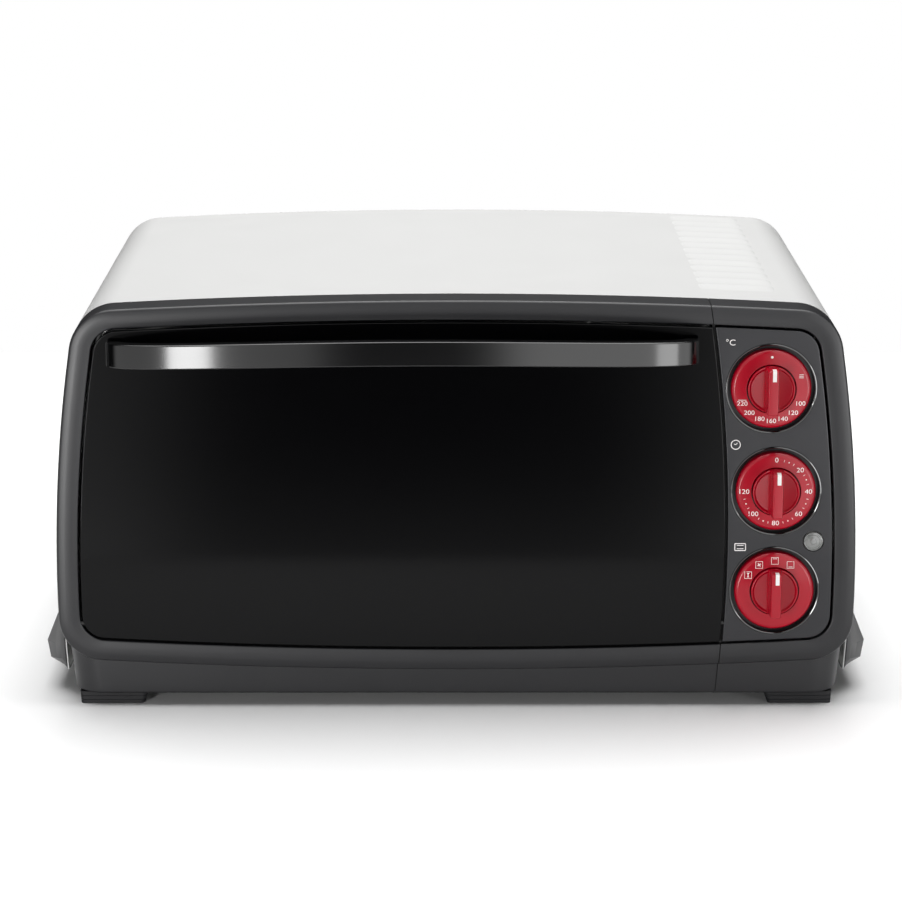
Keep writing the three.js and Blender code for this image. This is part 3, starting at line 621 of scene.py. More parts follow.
def row_of(
    name: str, seed: Patch, count: int, first: Point, step: Point, finish: Finish,
) -> bpy.types.Mesh:
    """Copies of a small closed shape along a straight line, as one mesh.

    Args:
        name: The mesh's name.
        seed: The shape, in millimetres about its own origin.
        count: How many copies.
        first: The first copy's place, in millimetres behind the front plane.
        step: The way from each copy to the next, in millimetres.
        finish: The finish.

    Returns:
        The mesh.
    """
    shape = bpy.data.meshes.new(name + "_seed")
    shape.from_pydata([Vector(p) * MM for p in seed.points], [], seed.faces)
    pattern = put(name + "_seed", shape)
    tree = Tree(name)
    line = tree.node(
        "MeshLine", Count=tree.input("Count", "Int", count),
        Start_Location=tree.input("First", "Vector", place([first])[0]),
        Offset=tree.input("Step", "Vector", Vector(step) * MM),
    )
    copy = tree.node("ObjectInfo", Object=tree.input("Shape", "Object", pattern))
    laid = tree.node("InstanceOnPoints", Points=line.outputs[0], Instance=copy.outputs["Geometry"])
    mesh = tree.mesh(name, laid.outputs[0], finish)
    bpy.data.objects.remove(pattern)
    return mesh


# ---------------------------------------------------------------- outlines of the front

@dataclass(frozen=True)
class Inset:
    """How far an outline lies inside the body's, on each side, and its corner radius."""

    top: float
    side: float
    bottom: float
    corner: float

    def deeper(self, by: float) -> "Inset":
        """The same inset moved further in."""
        return Inset(self.top + by, self.side + by, self.bottom + by, self.corner - by)

    def toward(self, other: "Inset", share: float) -> "Inset":
        """A mix of this inset and another."""
        def mix(a: float, b: float) -> float:
            """One measure."""
            return a + (b - a) * share
        return Inset(
            mix(self.top, other.top), mix(self.side, other.side), mix(self.bottom, other.bottom),
            mix(self.corner, other.corner),
        )


EDGE = Inset(0, 0, 0, 26)
OPENING = Inset(11, 12.5, 12.4, 15)


class Half(Enum):
    """The two halves that the seam divides the front into."""

    DOOR = -1
    CONTROLS = 1


@dataclass(frozen=True)
class Barrel:
    """The body's front outline: four shallow outward arcs with filleted corners, in millimetres."""

    top_z: float = 240.7
    top_radius: float = 3650
    side_x: float = 231
    side_z: float = 80
    side_radius: float = 868
    bottom_z: float = 22.6
    bottom_radius: float = 3800
    seam_x: float = 155.9
    seam_z: float = 100
    seam_radius: float = 860

    def seam(self, z: float) -> float:
        """The seam's x at a height."""
        return self.seam_x - (z - self.seam_z) ** 2 / (2 * self.seam_radius)

    def top(self, x: float, inset: Inset) -> float:
        """The top arc's height at an x."""
        radius = self.top_radius - inset.top
        return self.top_z - self.top_radius + math.sqrt(radius ** 2 - x ** 2)

    def bottom(self, x: float, inset: Inset) -> float:
        """The bottom arc's height at an x."""
        radius = self.bottom_radius - inset.bottom
        return self.bottom_z + self.bottom_radius - math.sqrt(radius ** 2 - x ** 2)

    def side(self, z: float, inset: Inset) -> float:
        """The right side arc's x at a height."""
        radius = self.side_radius - inset.side
        return self.side_x - self.side_radius + math.sqrt(radius ** 2 - (z - self.side_z) ** 2)

    def fillet(self, inset: Inset, upper: bool) -> tuple[tuple[float, float], float, float]:
        """A right-hand corner.

        Args:
            inset: The outline's inset.
            upper: Whether it is the upper corner.

        Returns:
            Its centre, and the angles in degrees where it leaves the side and meets the top or bottom.
        """
        side_centre = (self.side_x - self.side_radius, self.side_z)
        side_radius = self.side_radius - inset.side
        if upper:
            cap_centre, cap_radius = (0.0, self.top_z - self.top_radius), self.top_radius - inset.top
        else:
            cap_centre = (0.0, self.bottom_z + self.bottom_radius)
            cap_radius = self.bottom_radius - inset.bottom
        a, b = side_radius - inset.corner, cap_radius - inset.corner
        apart = math.dist(side_centre, cap_centre)
        along = (apart ** 2 + a ** 2 - b ** 2) / (2 * apart)
        across = math.sqrt(a ** 2 - along ** 2) * (1 if upper else -1)
        ux, uz = (cap_centre[0] - side_centre[0]) / apart, (cap_centre[1] - side_centre[1]) / apart
        centre = (side_centre[0] + ux * along + uz * across, side_centre[1] + uz * along - ux * across)
        if centre[0] < 0:
            centre = (side_centre[0] + ux * along - uz * across, side_centre[1] + uz * along + ux * across)
        to_side = math.degrees(math.atan2(centre[1] - side_centre[1], centre[0] - side_centre[0]))
        to_cap = math.degrees(math.atan2(centre[1] - cap_centre[1], centre[0] - cap_centre[0]))
        return centre, to_side, to_cap

    def span(
        self, half: Half, inset: Inset, gap: float, run: int = 40, corner: int = 14, side: int = 24,
    ) -> Outline:
        """The outline of one half, clockwise from the front, from the seam at one end to the other.

        Args:
            half: Which half.
            inset: How far in the outline lies.
            gap: How far it stays from the seam.
            run: Steps along the top and bottom arcs.
            corner: Steps round a corner.
            side: Steps up the side.

        Returns:
            The points; the door half starts at the bottom and the control half at the top.
        """
        sign = half.value
        meet_top, meet_bottom = self.seam_x, self.seam_x
        for _ in range(6):
            meet_top = self.seam(self.top(meet_top, inset)) + sign * gap
            meet_bottom = self.seam(self.bottom(meet_bottom, inset)) + sign * gap
        (ux, uz), up_side, up_cap = self.fillet(inset, True)
        (lx, lz), low_side, low_cap = self.fillet(inset, False)
        upper = arc((ux, uz), inset.corner, up_cap, up_side, corner)
        lower = arc((lx, lz), inset.corner, low_side, low_cap, corner)
        flank_from, flank_to = upper[-1][1], lower[0][1]
        flank = [flank_from + (flank_to - flank_from) * i / side for i in range(1, side)]
        flank_points = [(self.side(z, inset), z) for z in flank]
        top_end, bottom_end = sign * upper[0][0], sign * lower[-1][0]
        steps = [i / run for i in range(run)]
        top_xs = [meet_top + (top_end - meet_top) * s for s in steps]
        bottom_xs = [bottom_end + (meet_bottom - bottom_end) * (s + 1 / run) for s in steps]
        path = [(x, self.top(x, inset)) for x in top_xs]
        path += [(sign * x, z) for x, z in (*upper, *flank_points, *lower)]
        path += [(x, self.bottom(x, inset)) for x in bottom_xs]
        return path if half is Half.CONTROLS else path[::-1]

    def closed(self, half: Half, inset: Inset, gap: float, seam_steps: int = 24) -> Outline:
        """The whole outline of one half, closed along the seam."""
        path = self.span(half, inset, gap)
        from_z, to_z = path[-1][1], path[0][1]
        levels = [from_z + (to_z - from_z) * i / seam_steps for i in range(1, seam_steps)]
        return path + [(self.seam(z) + half.value * gap, z) for z in levels]

    def over(
        self, inset: Inset, foot_z: float, run: int = 48, corner: int = 14, side: int = 20,
    ) -> Outline:
        """The outline over the top, from the right foot to the left."""
        centre, up_side, up_cap = self.fillet(inset, True)
        upper = arc(centre, inset.corner, up_side, up_cap, corner)
        flank = [foot_z + (upper[0][1] - foot_z) * i / side for i in range(side)]
        right = [(self.side(z, inset), z) for z in flank] + upper
        end = upper[-1][0]
        top = [end - 2 * end * i / run for i in range(1, run)]
        return right + [(x, self.top(x, inset)) for x in top] + [(-x, z) for x, z in right[::-1]]


BARREL = Barrel()


# ---------------------------------------------------------------- housing

@dataclass
class FrontMoulding:
    """The ring round the opening with the fascia under it, in two halves."""

    depth: float = 24.0
    wall: float = 2.5
    lip_depth: float = 16.0
    seam_gap: float = 0.25
    outer_round: float = 2.0
    inner_round: float = 1.0
    fascia_y: float = 3.0
    fascia_bottom: float = 7.5
    fascia_half: float = 223.0
    fascia_draft: float = 0.12
    draft_half: float = 228.0
    fascia_corner: float = 18.0
    fascia_wall: float = 2.0
    fascia_round: float = 1.6
    fascia_side_top: float = 56.0
    crown: float = 0.5
    tongue_half: float = 0.7
    # the tongues are deep black, painted shade that keeps the seam's gap between the halves dark
    tongues_at: tuple[tuple[float, float, float, float], ...] = (
        (228.0, 236.4, 1.2, 22.0), (8.4, 25.4, 3.9, 4.9), (26.8, 36.2, 1.2, 22.0),
    )
    # the deep black strip of painted shade behind the gap beside the door
    seam_shade_left: float = 0.6
    seam_shade_right: float = 1.0
    seam_shade_ys: tuple[float, float] = (4.0, 5.5)
    seam_shade_zs: tuple[float, float] = (37.5, 226.5)

    def build(self) -> None:
        """Make both halves."""
        for half, name in ((Half.DOOR, "door_surround"), (Half.CONTROLS, "control_surround")):
            patch = Patch()
            self.ring(patch, half)
            self.fascia(patch, half)
            patch.piece(name + "_skin", GREY_MOULDING, "oven", replaces=[name], sharp=28.0)
        self.tongues()

    def tongues(self) -> None:
        """The hidden tongues that close the seam behind the two halves, and the strip beside the door, all
        deep black: painted shade that keeps the gaps along the seam dark.
        """
        patch = Patch()
        for z0, z1, y0, y1 in self.tongues_at:
            self.seam_bar(patch, (z0, z1), (y0, y1), self.tongue_half, self.tongue_half, 2)
        self.seam_bar(patch, self.seam_shade_zs, self.seam_shade_ys, self.seam_shade_left, self.seam_shade_right, 27)
        patch.piece("seam_tongue", DEEP_BLACK, "oven", slot="dark_moulding")

    def seam_bar(
        self, patch: Patch, zs: Sequence[float], ys: Sequence[float], left: float, right: float, steps: int,
    ) -> None:
        """Add a bar that follows the seam.

        Args:
            patch: The patch that takes it.
            zs: Its lowest and highest points.
            ys: Its front and back.
            left: How far it reaches to the left of the seam.
            right: How far it reaches to the right.
            steps: Steps up its height.
        """
        levels = [zs[0] + (zs[1] - zs[0]) * i / steps for i in range(steps + 1)]
        outline = [(BARREL.seam(z) - left, z) for z in levels]
        outline += [(BARREL.seam(z) + right, z) for z in levels[::-1]]
        patch.skin([at_depth(outline, y) for y in ys], caps=True)

    def ring(self, patch: Patch, half: Half) -> None:
        """The hollow ring, as a profile carried round the outline."""
        width = OPENING.side
        inner_edge = self.inner_round / width
        outer_arc = arc((self.outer_round, self.outer_round), self.outer_round, 180, 270, 6)
        inner_arc = arc((width - self.inner_round, self.inner_round), self.inner_round, 270, 360, 5)
        crown = [(width * s, -self.crown * math.sin(math.pi * s)) for s in (0.3, 0.45, 0.6, 0.75)]
        inner_wall = width - self.wall * 0.8
        profile = [
            (0.0, self.depth), *outer_arc, *crown, *inner_arc,
            (width, self.lip_depth), (inner_wall, self.lip_depth), (inner_wall, self.wall + inner_edge),
            (self.wall, self.wall), (self.wall, self.depth),
        ]
        loops = []
        for u, y in profile:
            inset = EDGE.toward(OPENING, u / width)
            loops.append(at_depth(BARREL.span(half, inset, self.seam_gap), y))
        patch.strip(loops)

    def fascia(self, patch: Patch, half: Half) -> None:
        """The wall below the ring, rounded in plan at its outer corner and along its lower edge."""
        low, wall, r, proud = self.fascia_bottom, self.fascia_wall, self.fascia_round, 0.05
        under = [(r + proud - r * math.cos(a), low + r - r * math.sin(a)) for a in (1.57, 1.2, 0.8, 0.4)]
        straight, shelf = low + 4.6, low + 3
        levels = [(wall, shelf), (wall, low), *under]
        levels += [(proud, low + r), (proud, low + 4.0), (0.0, straight)]
        loops = [self.fascia_row(half, inward, z) for inward, z in levels]
        foot = self.fascia_row(half, 0.0, straight)
        tops = [self.top_behind_ring(x) for x, _, _ in foot]
        for share in (0.25, 0.5, 0.75, 1.0):
            row = []
            for (x, y, z), top in zip(foot, tops):
                height = z + (top - z) * share
                row.append((x + self.fascia_draft * (height - z) * x / self.draft_half, y, height))
            loops.append(row)
        inner = self.fascia_row(half, wall, shelf)
        loops.append([(x, y, top) for (x, y, _), top in zip(inner, tops)])
        patch.strip(loops)

    def fascia_row(self, half: Half, inward: float, z: float) -> list[Point]:
        """One level of the fascia's path from the seam round to the back edge."""
        sign = half.value
        edge = self.fascia_half + self.fascia_draft * (z - self.fascia_bottom) - inward
        r = self.fascia_corner - inward
        y = self.fascia_y + inward
        start = BARREL.seam(z) + sign * self.seam_gap
        flat_end = sign * (edge - r)
        points = [(start + (flat_end - start) * i / 40, y) for i in range(40)]
        points += [(sign * x, back) for x, back in arc((edge - r, y + r), r, 270, 360, 12)]
        points.append((sign * edge, self.depth))
        return [(x, y, z) for x, y in points]

    def top_behind_ring(self, x: float) -> float:
        """How high the fascia may reach at an x without showing inside the opening."""
        cover = EDGE.toward(OPENING, 0.5)
        centre, _, low_cap = BARREL.fillet(cover, False)
        straight = centre[0] + cover.corner * math.cos(math.radians(low_cap))
        if abs(x) <= straight:
            return BARREL.bottom(x, cover)
        across = min(1.0, (abs(x) - centre[0]) / cover.corner)
        rise = centre[1] - cover.corner * math.sqrt(max(0.0, 1 - across ** 2))
        return min(self.fascia_side_top, rise)


@dataclass
class WrapCover:
    """The enamelled steel wrap with its bank of pressed louvres, and a grey strip of painted shade behind
    each louvre.
    """

    front: float = 24.3
    back: float = 339.0
    foot_z: float = 16.0
    sheet: float = 0.8
    louvres: int = 13
    louvre_x0: float = 142.0
    louvre_x1: float = 187.0
    louvre_y0: float = 51.0
    pitch: float = 21.4
    rise: float = 1.0
    run: float = 17.0
    # where each strip of painted shade starts and ends, back from its louvre's front
    slot_shade_from: float = 12.0
    slot_shade_to: float = 20.4

    @property
    def middle(self) -> float:
        """The x of the louvres' middle."""
        return (self.louvre_x0 + self.louvre_x1) / 2

    def build(self) -> None:
        """Make the wrap, its louvres and the strips of painted shade behind them."""
        edges = [
            (0.15, self.front), (0.0, self.front + 0.3), (0.0, self.back - 0.3), (0.15, self.back),
            (self.sheet - 0.15, self.back), (self.sheet, self.back - 0.3), (self.sheet, self.front + 0.3),
            (self.sheet - 0.15, self.front),
        ]
        cover = Patch().strip([at_depth(BARREL.over(EDGE.deeper(i), self.foot_z), y) for i, y in edges])
        cover.piece("wrap_cover_skin", WHITE_ENAMEL, "oven", replaces=["wrap_cover"])
        first = (self.middle, self.louvre_y0, BARREL.top(self.middle, EDGE))
        step = (0.0, self.pitch, 0.0)
        scoops = row_of("louvres", self.scoop(), self.louvres, first, step, WHITE_ENAMEL)
        settle("cover_louvres", scoops, WHITE_ENAMEL, "oven")
        # painted shade: a grey strip behind each louvre where its opening and the cover behind it lie in
        # shade
        slot_shades = row_of("louvre_mouths", self.slot_shade_strip(), self.louvres, first, step, SLOT_SHADE)
        settle("cover_louvre_mouths", slot_shades, SLOT_SHADE, "oven", slot="dark_moulding")

    def lean(self, x: float) -> float:
        """How the cover's crown falls away from the louvres' middle."""
        return BARREL.top(self.middle + x, EDGE) - BARREL.top(self.middle, EDGE)

    def scoop(self) -> Patch:
        """One louvre: a ramp that rises towards the back, rounded at its ends, and open behind."""
        half, columns, rows = (self.louvre_x1 - self.louvre_x0) / 2, 28, 10
        xs = [-half + 2 * half * i / columns for i in range(columns + 1)]
        ys = [self.run * j / rows for j in range(rows + 1)]
        sunk, thickness, lip = 0.1, 1.0, 0.9
        def height(x: float, y: float) -> float:
            """The ramp's height above the cover, turned down a little at its back lip."""
            end = math.sqrt(max(0.0, 1 - abs(x / half) ** 8))
            share = y / self.run
            return self.rise * end * (share ** 1.3 - 2.5 * max(0.0, share - lip) ** 2)
        upper = [[(x, y, self.lean(x) - sunk + height(x, y)) for x in xs] for y in ys]
        lower = [[(x, y, z - thickness) for x, y, z in loop] for loop in upper[::-1]]
        return Patch().strip(upper + lower)

    def slot_shade_strip(self) -> Patch:
        """A grey strip of painted shade: it stands for the shaded opening under one louvre's back edge and
        the shade line on the cover behind it.
        """
        half = (self.louvre_x1 - self.louvre_x0) / 2 - 2
        xs = [-half + half * i / 8 for i in range(17)]
        low, high = -0.4, 0.06
        start, end = self.slot_shade_from, self.slot_shade_to
        profile = [(start, low), (start, high), (end, high), (end, low)]
        return Patch().strip([[(x, y, self.lean(x) + z) for x in xs] for y, z in profile])


@dataclass
class SideGrips:
    """The flared lifting grips low on both sides."""

    front: float = 26.5
    nose: float = 17.5
    tail: float = 32.0
    back: float = 328.0
    stations: int = 10
    flat: tuple[tuple[float, float], ...] = ((229.2, 15.8), (230.0, 22.0), (230.6, 30.0), (231.3, 58.0))
    full: tuple[tuple[float, float], ...] = ((229.2, 11.0), (240.8, 17.8), (242.6, 28.3), (231.2, 57.0))

    def build(self) -> None:
        """Make both grips."""
        for side, name in ((-1, "left_grip"), (1, "right_grip")):
            ys = [self.front + self.nose * i / self.stations for i in range(self.stations + 1)]
            ys += [self.back - self.tail + self.tail * i / self.stations for i in range(self.stations + 1)]
            loops = [self.section(side, y) for y in ys]
            grip = Patch().skin(loops, caps=True)
            grip.piece(name + "_skin", GREY_MOULDING, "oven", replaces=[name], soft_mm=1.2)

    def section(self, side: int, y: float) -> list[Point]:
        """The grip's section at a depth, flaring out from the body."""
        swell = max(0.0, min(1.0, (y - self.front) / self.nose, (self.back - y) / self.tail)) ** 0.8
        section = []
        for (ax, az), (bx, bz) in zip(self.flat, self.full):
            section.append((side * (ax + (bx - ax) * swell), y, az + (bz - az) * swell))
        return section


@dataclass
class Feet:
    """Four wedge feet with a stepped face."""

    inner_top: float = 180.0
    outer_top: float = 220.0
    inner_toe: float = 182.4
    outer_toe: float = 219.5
    top_z: float = 7.2
    depth: float = 32.0
    steps: int = 3
    groove: float = 0.5
    corner: float = 2.5

    def build(self) -> None:
        """Make the feet."""
        for node in ("front_left_foot", "front_right_foot", "rear_left_foot", "rear_right_foot"):
            low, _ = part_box(node)
            y0 = (low.y - FRONT_Y) / MM
            side = -1 if "left" in node else 1
            levels = [(0.0, 0.0), (0.88, 0.0)]
            for i in range(1, self.steps):
                levels += [(i - 0.1, self.groove), (i + 0.02, self.groove), (i + 0.04, 0.0), (i + 0.88, 0.0)]
            levels.append((self.steps, 0.0))
            loops = [self.ring(side, self.top_z * at / self.steps, y0, inward) for at, inward in levels]
            Patch().skin(loops, caps=True).piece(node + "_skin", DARK_MOULDING, "oven", replaces=[node])

    def ring(self, side: int, z: float, y0: float, inward: float) -> list[Point]:
        """A rounded rectangle at one level of a foot."""
        share = z / self.top_z
        x0 = self.inner_toe + (self.inner_top - self.inner_toe) * share + inward
        x1 = self.outer_toe + (self.outer_top - self.outer_toe) * share - inward
        x, y = (x0 + x1) / 2, y0 + self.depth / 2
        path = rounded((x1 - x0) / 2, self.depth / 2 - inward, self.corner)
        return [(side * (x + a), y + b, z) for a, b in path]


# ---------------------------------------------------------------- door

@dataclass
class Door:
    """The drop-down door's glass and bowed handle."""

    gap: float = 1.5
    seam_gap: float = 0.8
    front: float = -0.5
    thickness: float = 3.0
    edge_round: float = 0.6
    handle_x: float = -30.4
    handle_half: float = 163.9
    handle_start: float = 5.7
    handle_reach: float = 36.0
    handle_thick: float = 9.0
    handle_height: float = 14.0
    handle_round: float = 0.9
    handle_z: float = 216.8
    arch_x: float = -15.0
    arch_radius: float = 2950.0
    squareness: float = 2.6
    stations: int = 96
    mount_half: tuple[float, float] = (4.0, 6.0)
    mount_round: float = 1.8
    sunk: float = 0.1

    def build(self) -> None:
        """Make the door's visible pieces."""
        self.glass()
        self.handle()
        self.mounts()

    def glass(self) -> None:
        """The dark glass: a flat face whose edge is rolled back all round."""
        base, r = OPENING.deeper(self.gap), self.edge_round
        rim = [(0.0, self.front + self.thickness), (0.0, self.front + r)]
        rim += [(r * (1 - math.cos(a)), self.front + r * (1 - math.sin(a))) for a in (0.4, 0.8, 1.2)]
        rim.append((r, self.front))
        loops = [
            at_depth(BARREL.closed(Half.DOOR, base.deeper(inward), self.seam_gap + inward), y)
            for inward, y in rim
        ]
        patch = Patch().skin(loops, caps=True)
        patch.piece("door_glass_skin", DARK_GLASS, "door", replaces=["door_glass"], slot="dark_glass")

    def centreline(self, t: float) -> Vector:
        """The handle's centre at a share of its length, bowed in plan and arched in front view."""
        c = math.cos(math.pi * t)
        bow = self.handle_reach - self.handle_start - self.handle_thick / 2
        x = self.handle_x - self.handle_half * math.copysign(abs(c) ** (2 / self.squareness), c)
        y = -self.handle_start - bow * math.sin(math.pi * t)
        return Vector((x, y, self.arch(x)))

    def arch(self, x: float) -> float:
        """The height of the handle's middle at an x."""
        return self.handle_z - (x - self.arch_x) ** 2 / (2 * self.arch_radius)

    def handle(self) -> None:
        """The bar, as a rounded section carried along its centreline."""
        section = rounded(self.handle_thick / 2, self.handle_height / 2, self.handle_round, 6)
        step = 1e-3
        loops = []
        for i in range(self.stations + 1):
            t = i / self.stations
            centre = self.centreline(t)
            ahead = self.centreline(min(1.0, t + step)) - self.centreline(max(0.0, t - step))
            angle = math.atan2(ahead.y, ahead.x)
            if i in (0, self.stations):
                angle = -math.pi / 2 if i == 0 else math.pi / 2
            outward = Vector((math.sin(angle), -math.cos(angle), 0))
            loops.append([tuple(centre + outward * a + Vector((0, 0, b))) for a, b in section])
        patch = Patch().skin(loops, caps=True)
        patch.piece("door_handle_skin", GLOSS_BLACK, "door", replaces=["door_handle"], sharp=50.0)

    def mounts(self) -> None:
        """The rounded feet between the handle's ends and the glass."""
        for side, node in ((-1, "left_handle_mount"), (1, "right_handle_mount")):
            x = self.handle_x + side * self.handle_half
            path = [(x + a, self.arch(x) + b) for a, b in rounded(*self.mount_half, self.mount_round)]
            ends = (-self.handle_start + self.sunk, self.front + self.sunk)
            mount = Patch().skin([at_depth(path, y) for y in ends], caps=True)
            mount.piece(node + "_skin", GLOSS_BLACK, "door", replaces=[node])


# ---------------------------------------------------------------- controls

class Scale(Enum):
    """What is printed round a dial."""

    TEMPERATURE = "temperature"
    TIMER = "timer"
    FUNCTION = "function"


# (radius, y) points of turned profiles, the y measured from the front plane
DIAL_FACE = [(14.5, -1.5), (20.6, -1.15), (21.4, -0.85), (22.1, -0.35), (22.6, 0.2), (23.0, 0.9)]
BEZEL_BEAD = [
    (25.02, 3.0), (25.02, 0.1), (25.2, -0.35), (25.6, -0.55), (26.05, -0.4), (26.3, 0.0), (26.35, 0.4),
    (25.8, 1.4),
]
LENS_DOME = [
    (0, -1.3), (1.6, -1.25), (1.9, -0.95), (3.6, -0.75), (3.9, -0.4), (4.6, -0.3), (4.9, -0.9),
    (5.3, -0.8), (5.5, -0.2), (5.5, 3.1), (0, 3.1),
]


@dataclass
class ControlPanel:
    """The panel with its three wells, and the dial, knob and print at each."""

    gap: float = 1.2
    seam_gap: float = 0.8
    front: float = 0.2
    plate: float = 3.0
    skirt: float = 14.0
    well: float = 25.0
    well_floor: float = 6.0
    floor_plate: float = 2.0
    rim: float = 1.1
    spindle_hole: float = 6.0
    lamp: tuple[float, float] = (206.1, 99.8)
    lamp_hole: float = 5.9
    dial_outer: float = 23.0
    dial_inner: float = 14.3
    knob_radius: float = 13.6
    grip_front: float = -14.0
    grip_half: float = 3.6
    grip_length: float = 13.3
    grip_corner: float = 0.8
    mark: tuple[float, float] = (-0.55, 1.65)
    mark_foot: float = 6.8
    mark_depth: float = 0.6
    mark_drop: float = 0.4
    controls: dict[Scale, tuple[float, float]] = field(default_factory=lambda: {
        Scale.TEMPERATURE: (180.0, 189.7), Scale.TIMER: (183.9, 129.5), Scale.FUNCTION: (184.1, 70.4),
    })

    def build(self) -> None:
        """Make the panel and everything on it."""
        self.panel()
        for scale, (x, z) in self.controls.items():
            self.bezel(scale.value, x, z)
            self.dial(scale.value, x, z)
            self.knob(scale.value, x, z)
        self.lens()

    def panel(self) -> None:
        """The plate with rolled well rims and a skirt behind it."""
        holes = [circle(centre, self.well + self.rim, ROUND) for centre in self.controls.values()]
        lamp = circle(self.lamp, self.lamp_hole + 0.3, 48)
        holes.append(lamp)
        rolled, wall, back = 0.8, 2.0, self.plate + 1.0
        rim = [(rolled, 0.0), (0.45, 0.08), (0.15, 0.3), (0.0, 0.8)]
        rim += [(0.0, self.skirt), (wall, self.skirt), (wall, back)]
        patch = Patch()
        self.plate_face(patch, rolled, self.front, holes, 12.0)
        patch.skin([at_depth(self.edge(inward), self.front + y) for inward, y in rim])
        self.plate_face(patch, wall, self.front + back, holes, 20.0)
        for x, z in self.controls.values():
            self.well_walls(patch, x, z, self.front + back)
        patch.skin([at_depth(lamp, self.front), at_depth(lamp, self.front + back)])
        patch.piece("control_panel_skin", PANEL_MOULDING, "oven", replaces=["control_panel"], sharp=40.0)

    def edge(self, inward: float) -> Outline:
        """The panel's outline, moved inward."""
        inset = OPENING.deeper(self.gap + inward)
        return BARREL.closed(Half.CONTROLS, inset, self.seam_gap + inward)

    def plate_face(self, patch: Patch, inward: float, y: float, holes: list[Outline], step: float) -> None:
        """Add one flat face of the plate, with its holes, to a patch.

        Args:
            patch: The patch that takes it.
            inward: How far its edge lies inside the panel's.
            y: Its depth.
            holes: The outlines left open.
            step: The spacing of its inner points.
        """
        points, faces = flat_patch(self.edge(inward), holes, step)
        base = len(patch.points)
        patch.points.extend(at_depth(points, y))
        patch.faces.extend([base + i for i in face] for face in faces)

    def well_walls(self, patch: Patch, x: float, z: float, back: float) -> None:
        """Roll one well's rim in, run its wall down, and close its floor and its outside."""
        outside, top, floor = self.well + self.rim, self.front, self.well_floor
        walls = [
            (outside, top), (self.well + 0.5, top + 0.12), (self.well + 0.12, top + 0.5),
            (self.well, top + 1.1),
            (self.well, floor), (self.spindle_hole, floor),
            (self.spindle_hole, floor + self.floor_plate), (outside, floor + self.floor_plate),
            (outside, back),
        ]
        patch.skin([at_depth(circle((x, z), r, ROUND), y) for r, y in walls])

    def bezel(self, name: str, x: float, z: float) -> None:
        """The glossy bead round one well."""
        turned(BEZEL_BEAD, x, z, ROUND).piece(name + "_bezel", BEZEL_BLACK, "oven")

    def dial(self, name: str, x: float, z: float) -> None:
        """One fixed dial: a shallow dome with a rolled rim."""
        back = 5.6
        profile = [(self.dial_inner, back), (self.dial_inner, -1.4), *DIAL_FACE, (self.dial_outer, back)]
        dial = turned(profile, x, z, ROUND)
        dial.piece(name + "_dial_skin", RED_PLASTIC, "oven", replaces=[name + "_dial"])

    def knob(self, name: str, x: float, z: float) -> None:
        """One knob: a dished base with a raised lip, and a straight grip across it."""
        body = name + "_control"
        r = self.knob_radius
        dish, back, front = -2.2, 5.3, self.grip_front
        base = turned([
            (0, dish), (r - 2.0, dish), (r - 1.5, -2.5), (r - 1.1, -3.1), (r - 0.7, -3.3), (r - 0.25, -3.1),
            (r, -2.6), (r, back), (0, back),
        ], x, z)
        # (y, how much thinner, how much shorter) from the grip's front edge back to its root
        stations = [
            (front, 1.25, 1.0), (front + 0.3, 0.85, 0.55), (front + 1.0, 0.6, 0.25), (-9.0, 0.25, 0.0),
            (-5.0, 0.0, 0.0), (-3.2, -0.5, 0.0), (-1.0, -0.6, 0.0),
        ]
        loops = []
        for y, thin, short in stations:
            path = rounded(self.grip_half - thin, self.grip_length - short, self.grip_corner)
            loops.append([(x + a, y, z + b) for a, b in path])
        base.skin(loops, caps=True)
        base.piece(name + "_knob_skin", RED_PLASTIC, body, replaces=[name + "_knob"], sharp=40.0)
        self.pointer(name, x, z)

    def pointer(self, name: str, x: float, z: float) -> None:
        """The white line inlaid in a grip's front edge, which turns down over its upper end."""
        front, end = self.grip_front - 0.1, self.grip_length
        run = [(front, self.mark_foot), (front, end - 1.2), (front + 0.45, end - 0.3), (-10.5, end + 0.14)]
        profile = run + [(y + self.mark_depth, rise - self.mark_drop) for y, rise in run[::-1]]
        loops = [[(x + a, y, z + rise) for y, rise in profile] for a in self.mark]
        patch = Patch().skin(loops)
        for first in (0, len(profile)):
            last = first + len(profile) - 1
            for i in range(len(run) - 1):
                patch.faces.append([first + i, first + i + 1, last - i - 1, last - i])
        patch.piece(name + "_pointer_skin", WHITE_PLASTIC, name + "_control", replaces=[name + "_pointer"])

    def lens(self) -> None:
        """The pilot lamp's lens: a ridged dome in a thin bezel."""
        lens = turned(LENS_DOME, *self.lamp, 64)
        lens.piece("pilot_lens_skin", LAMP_LENS, "oven", replaces=["pilot_lens"])


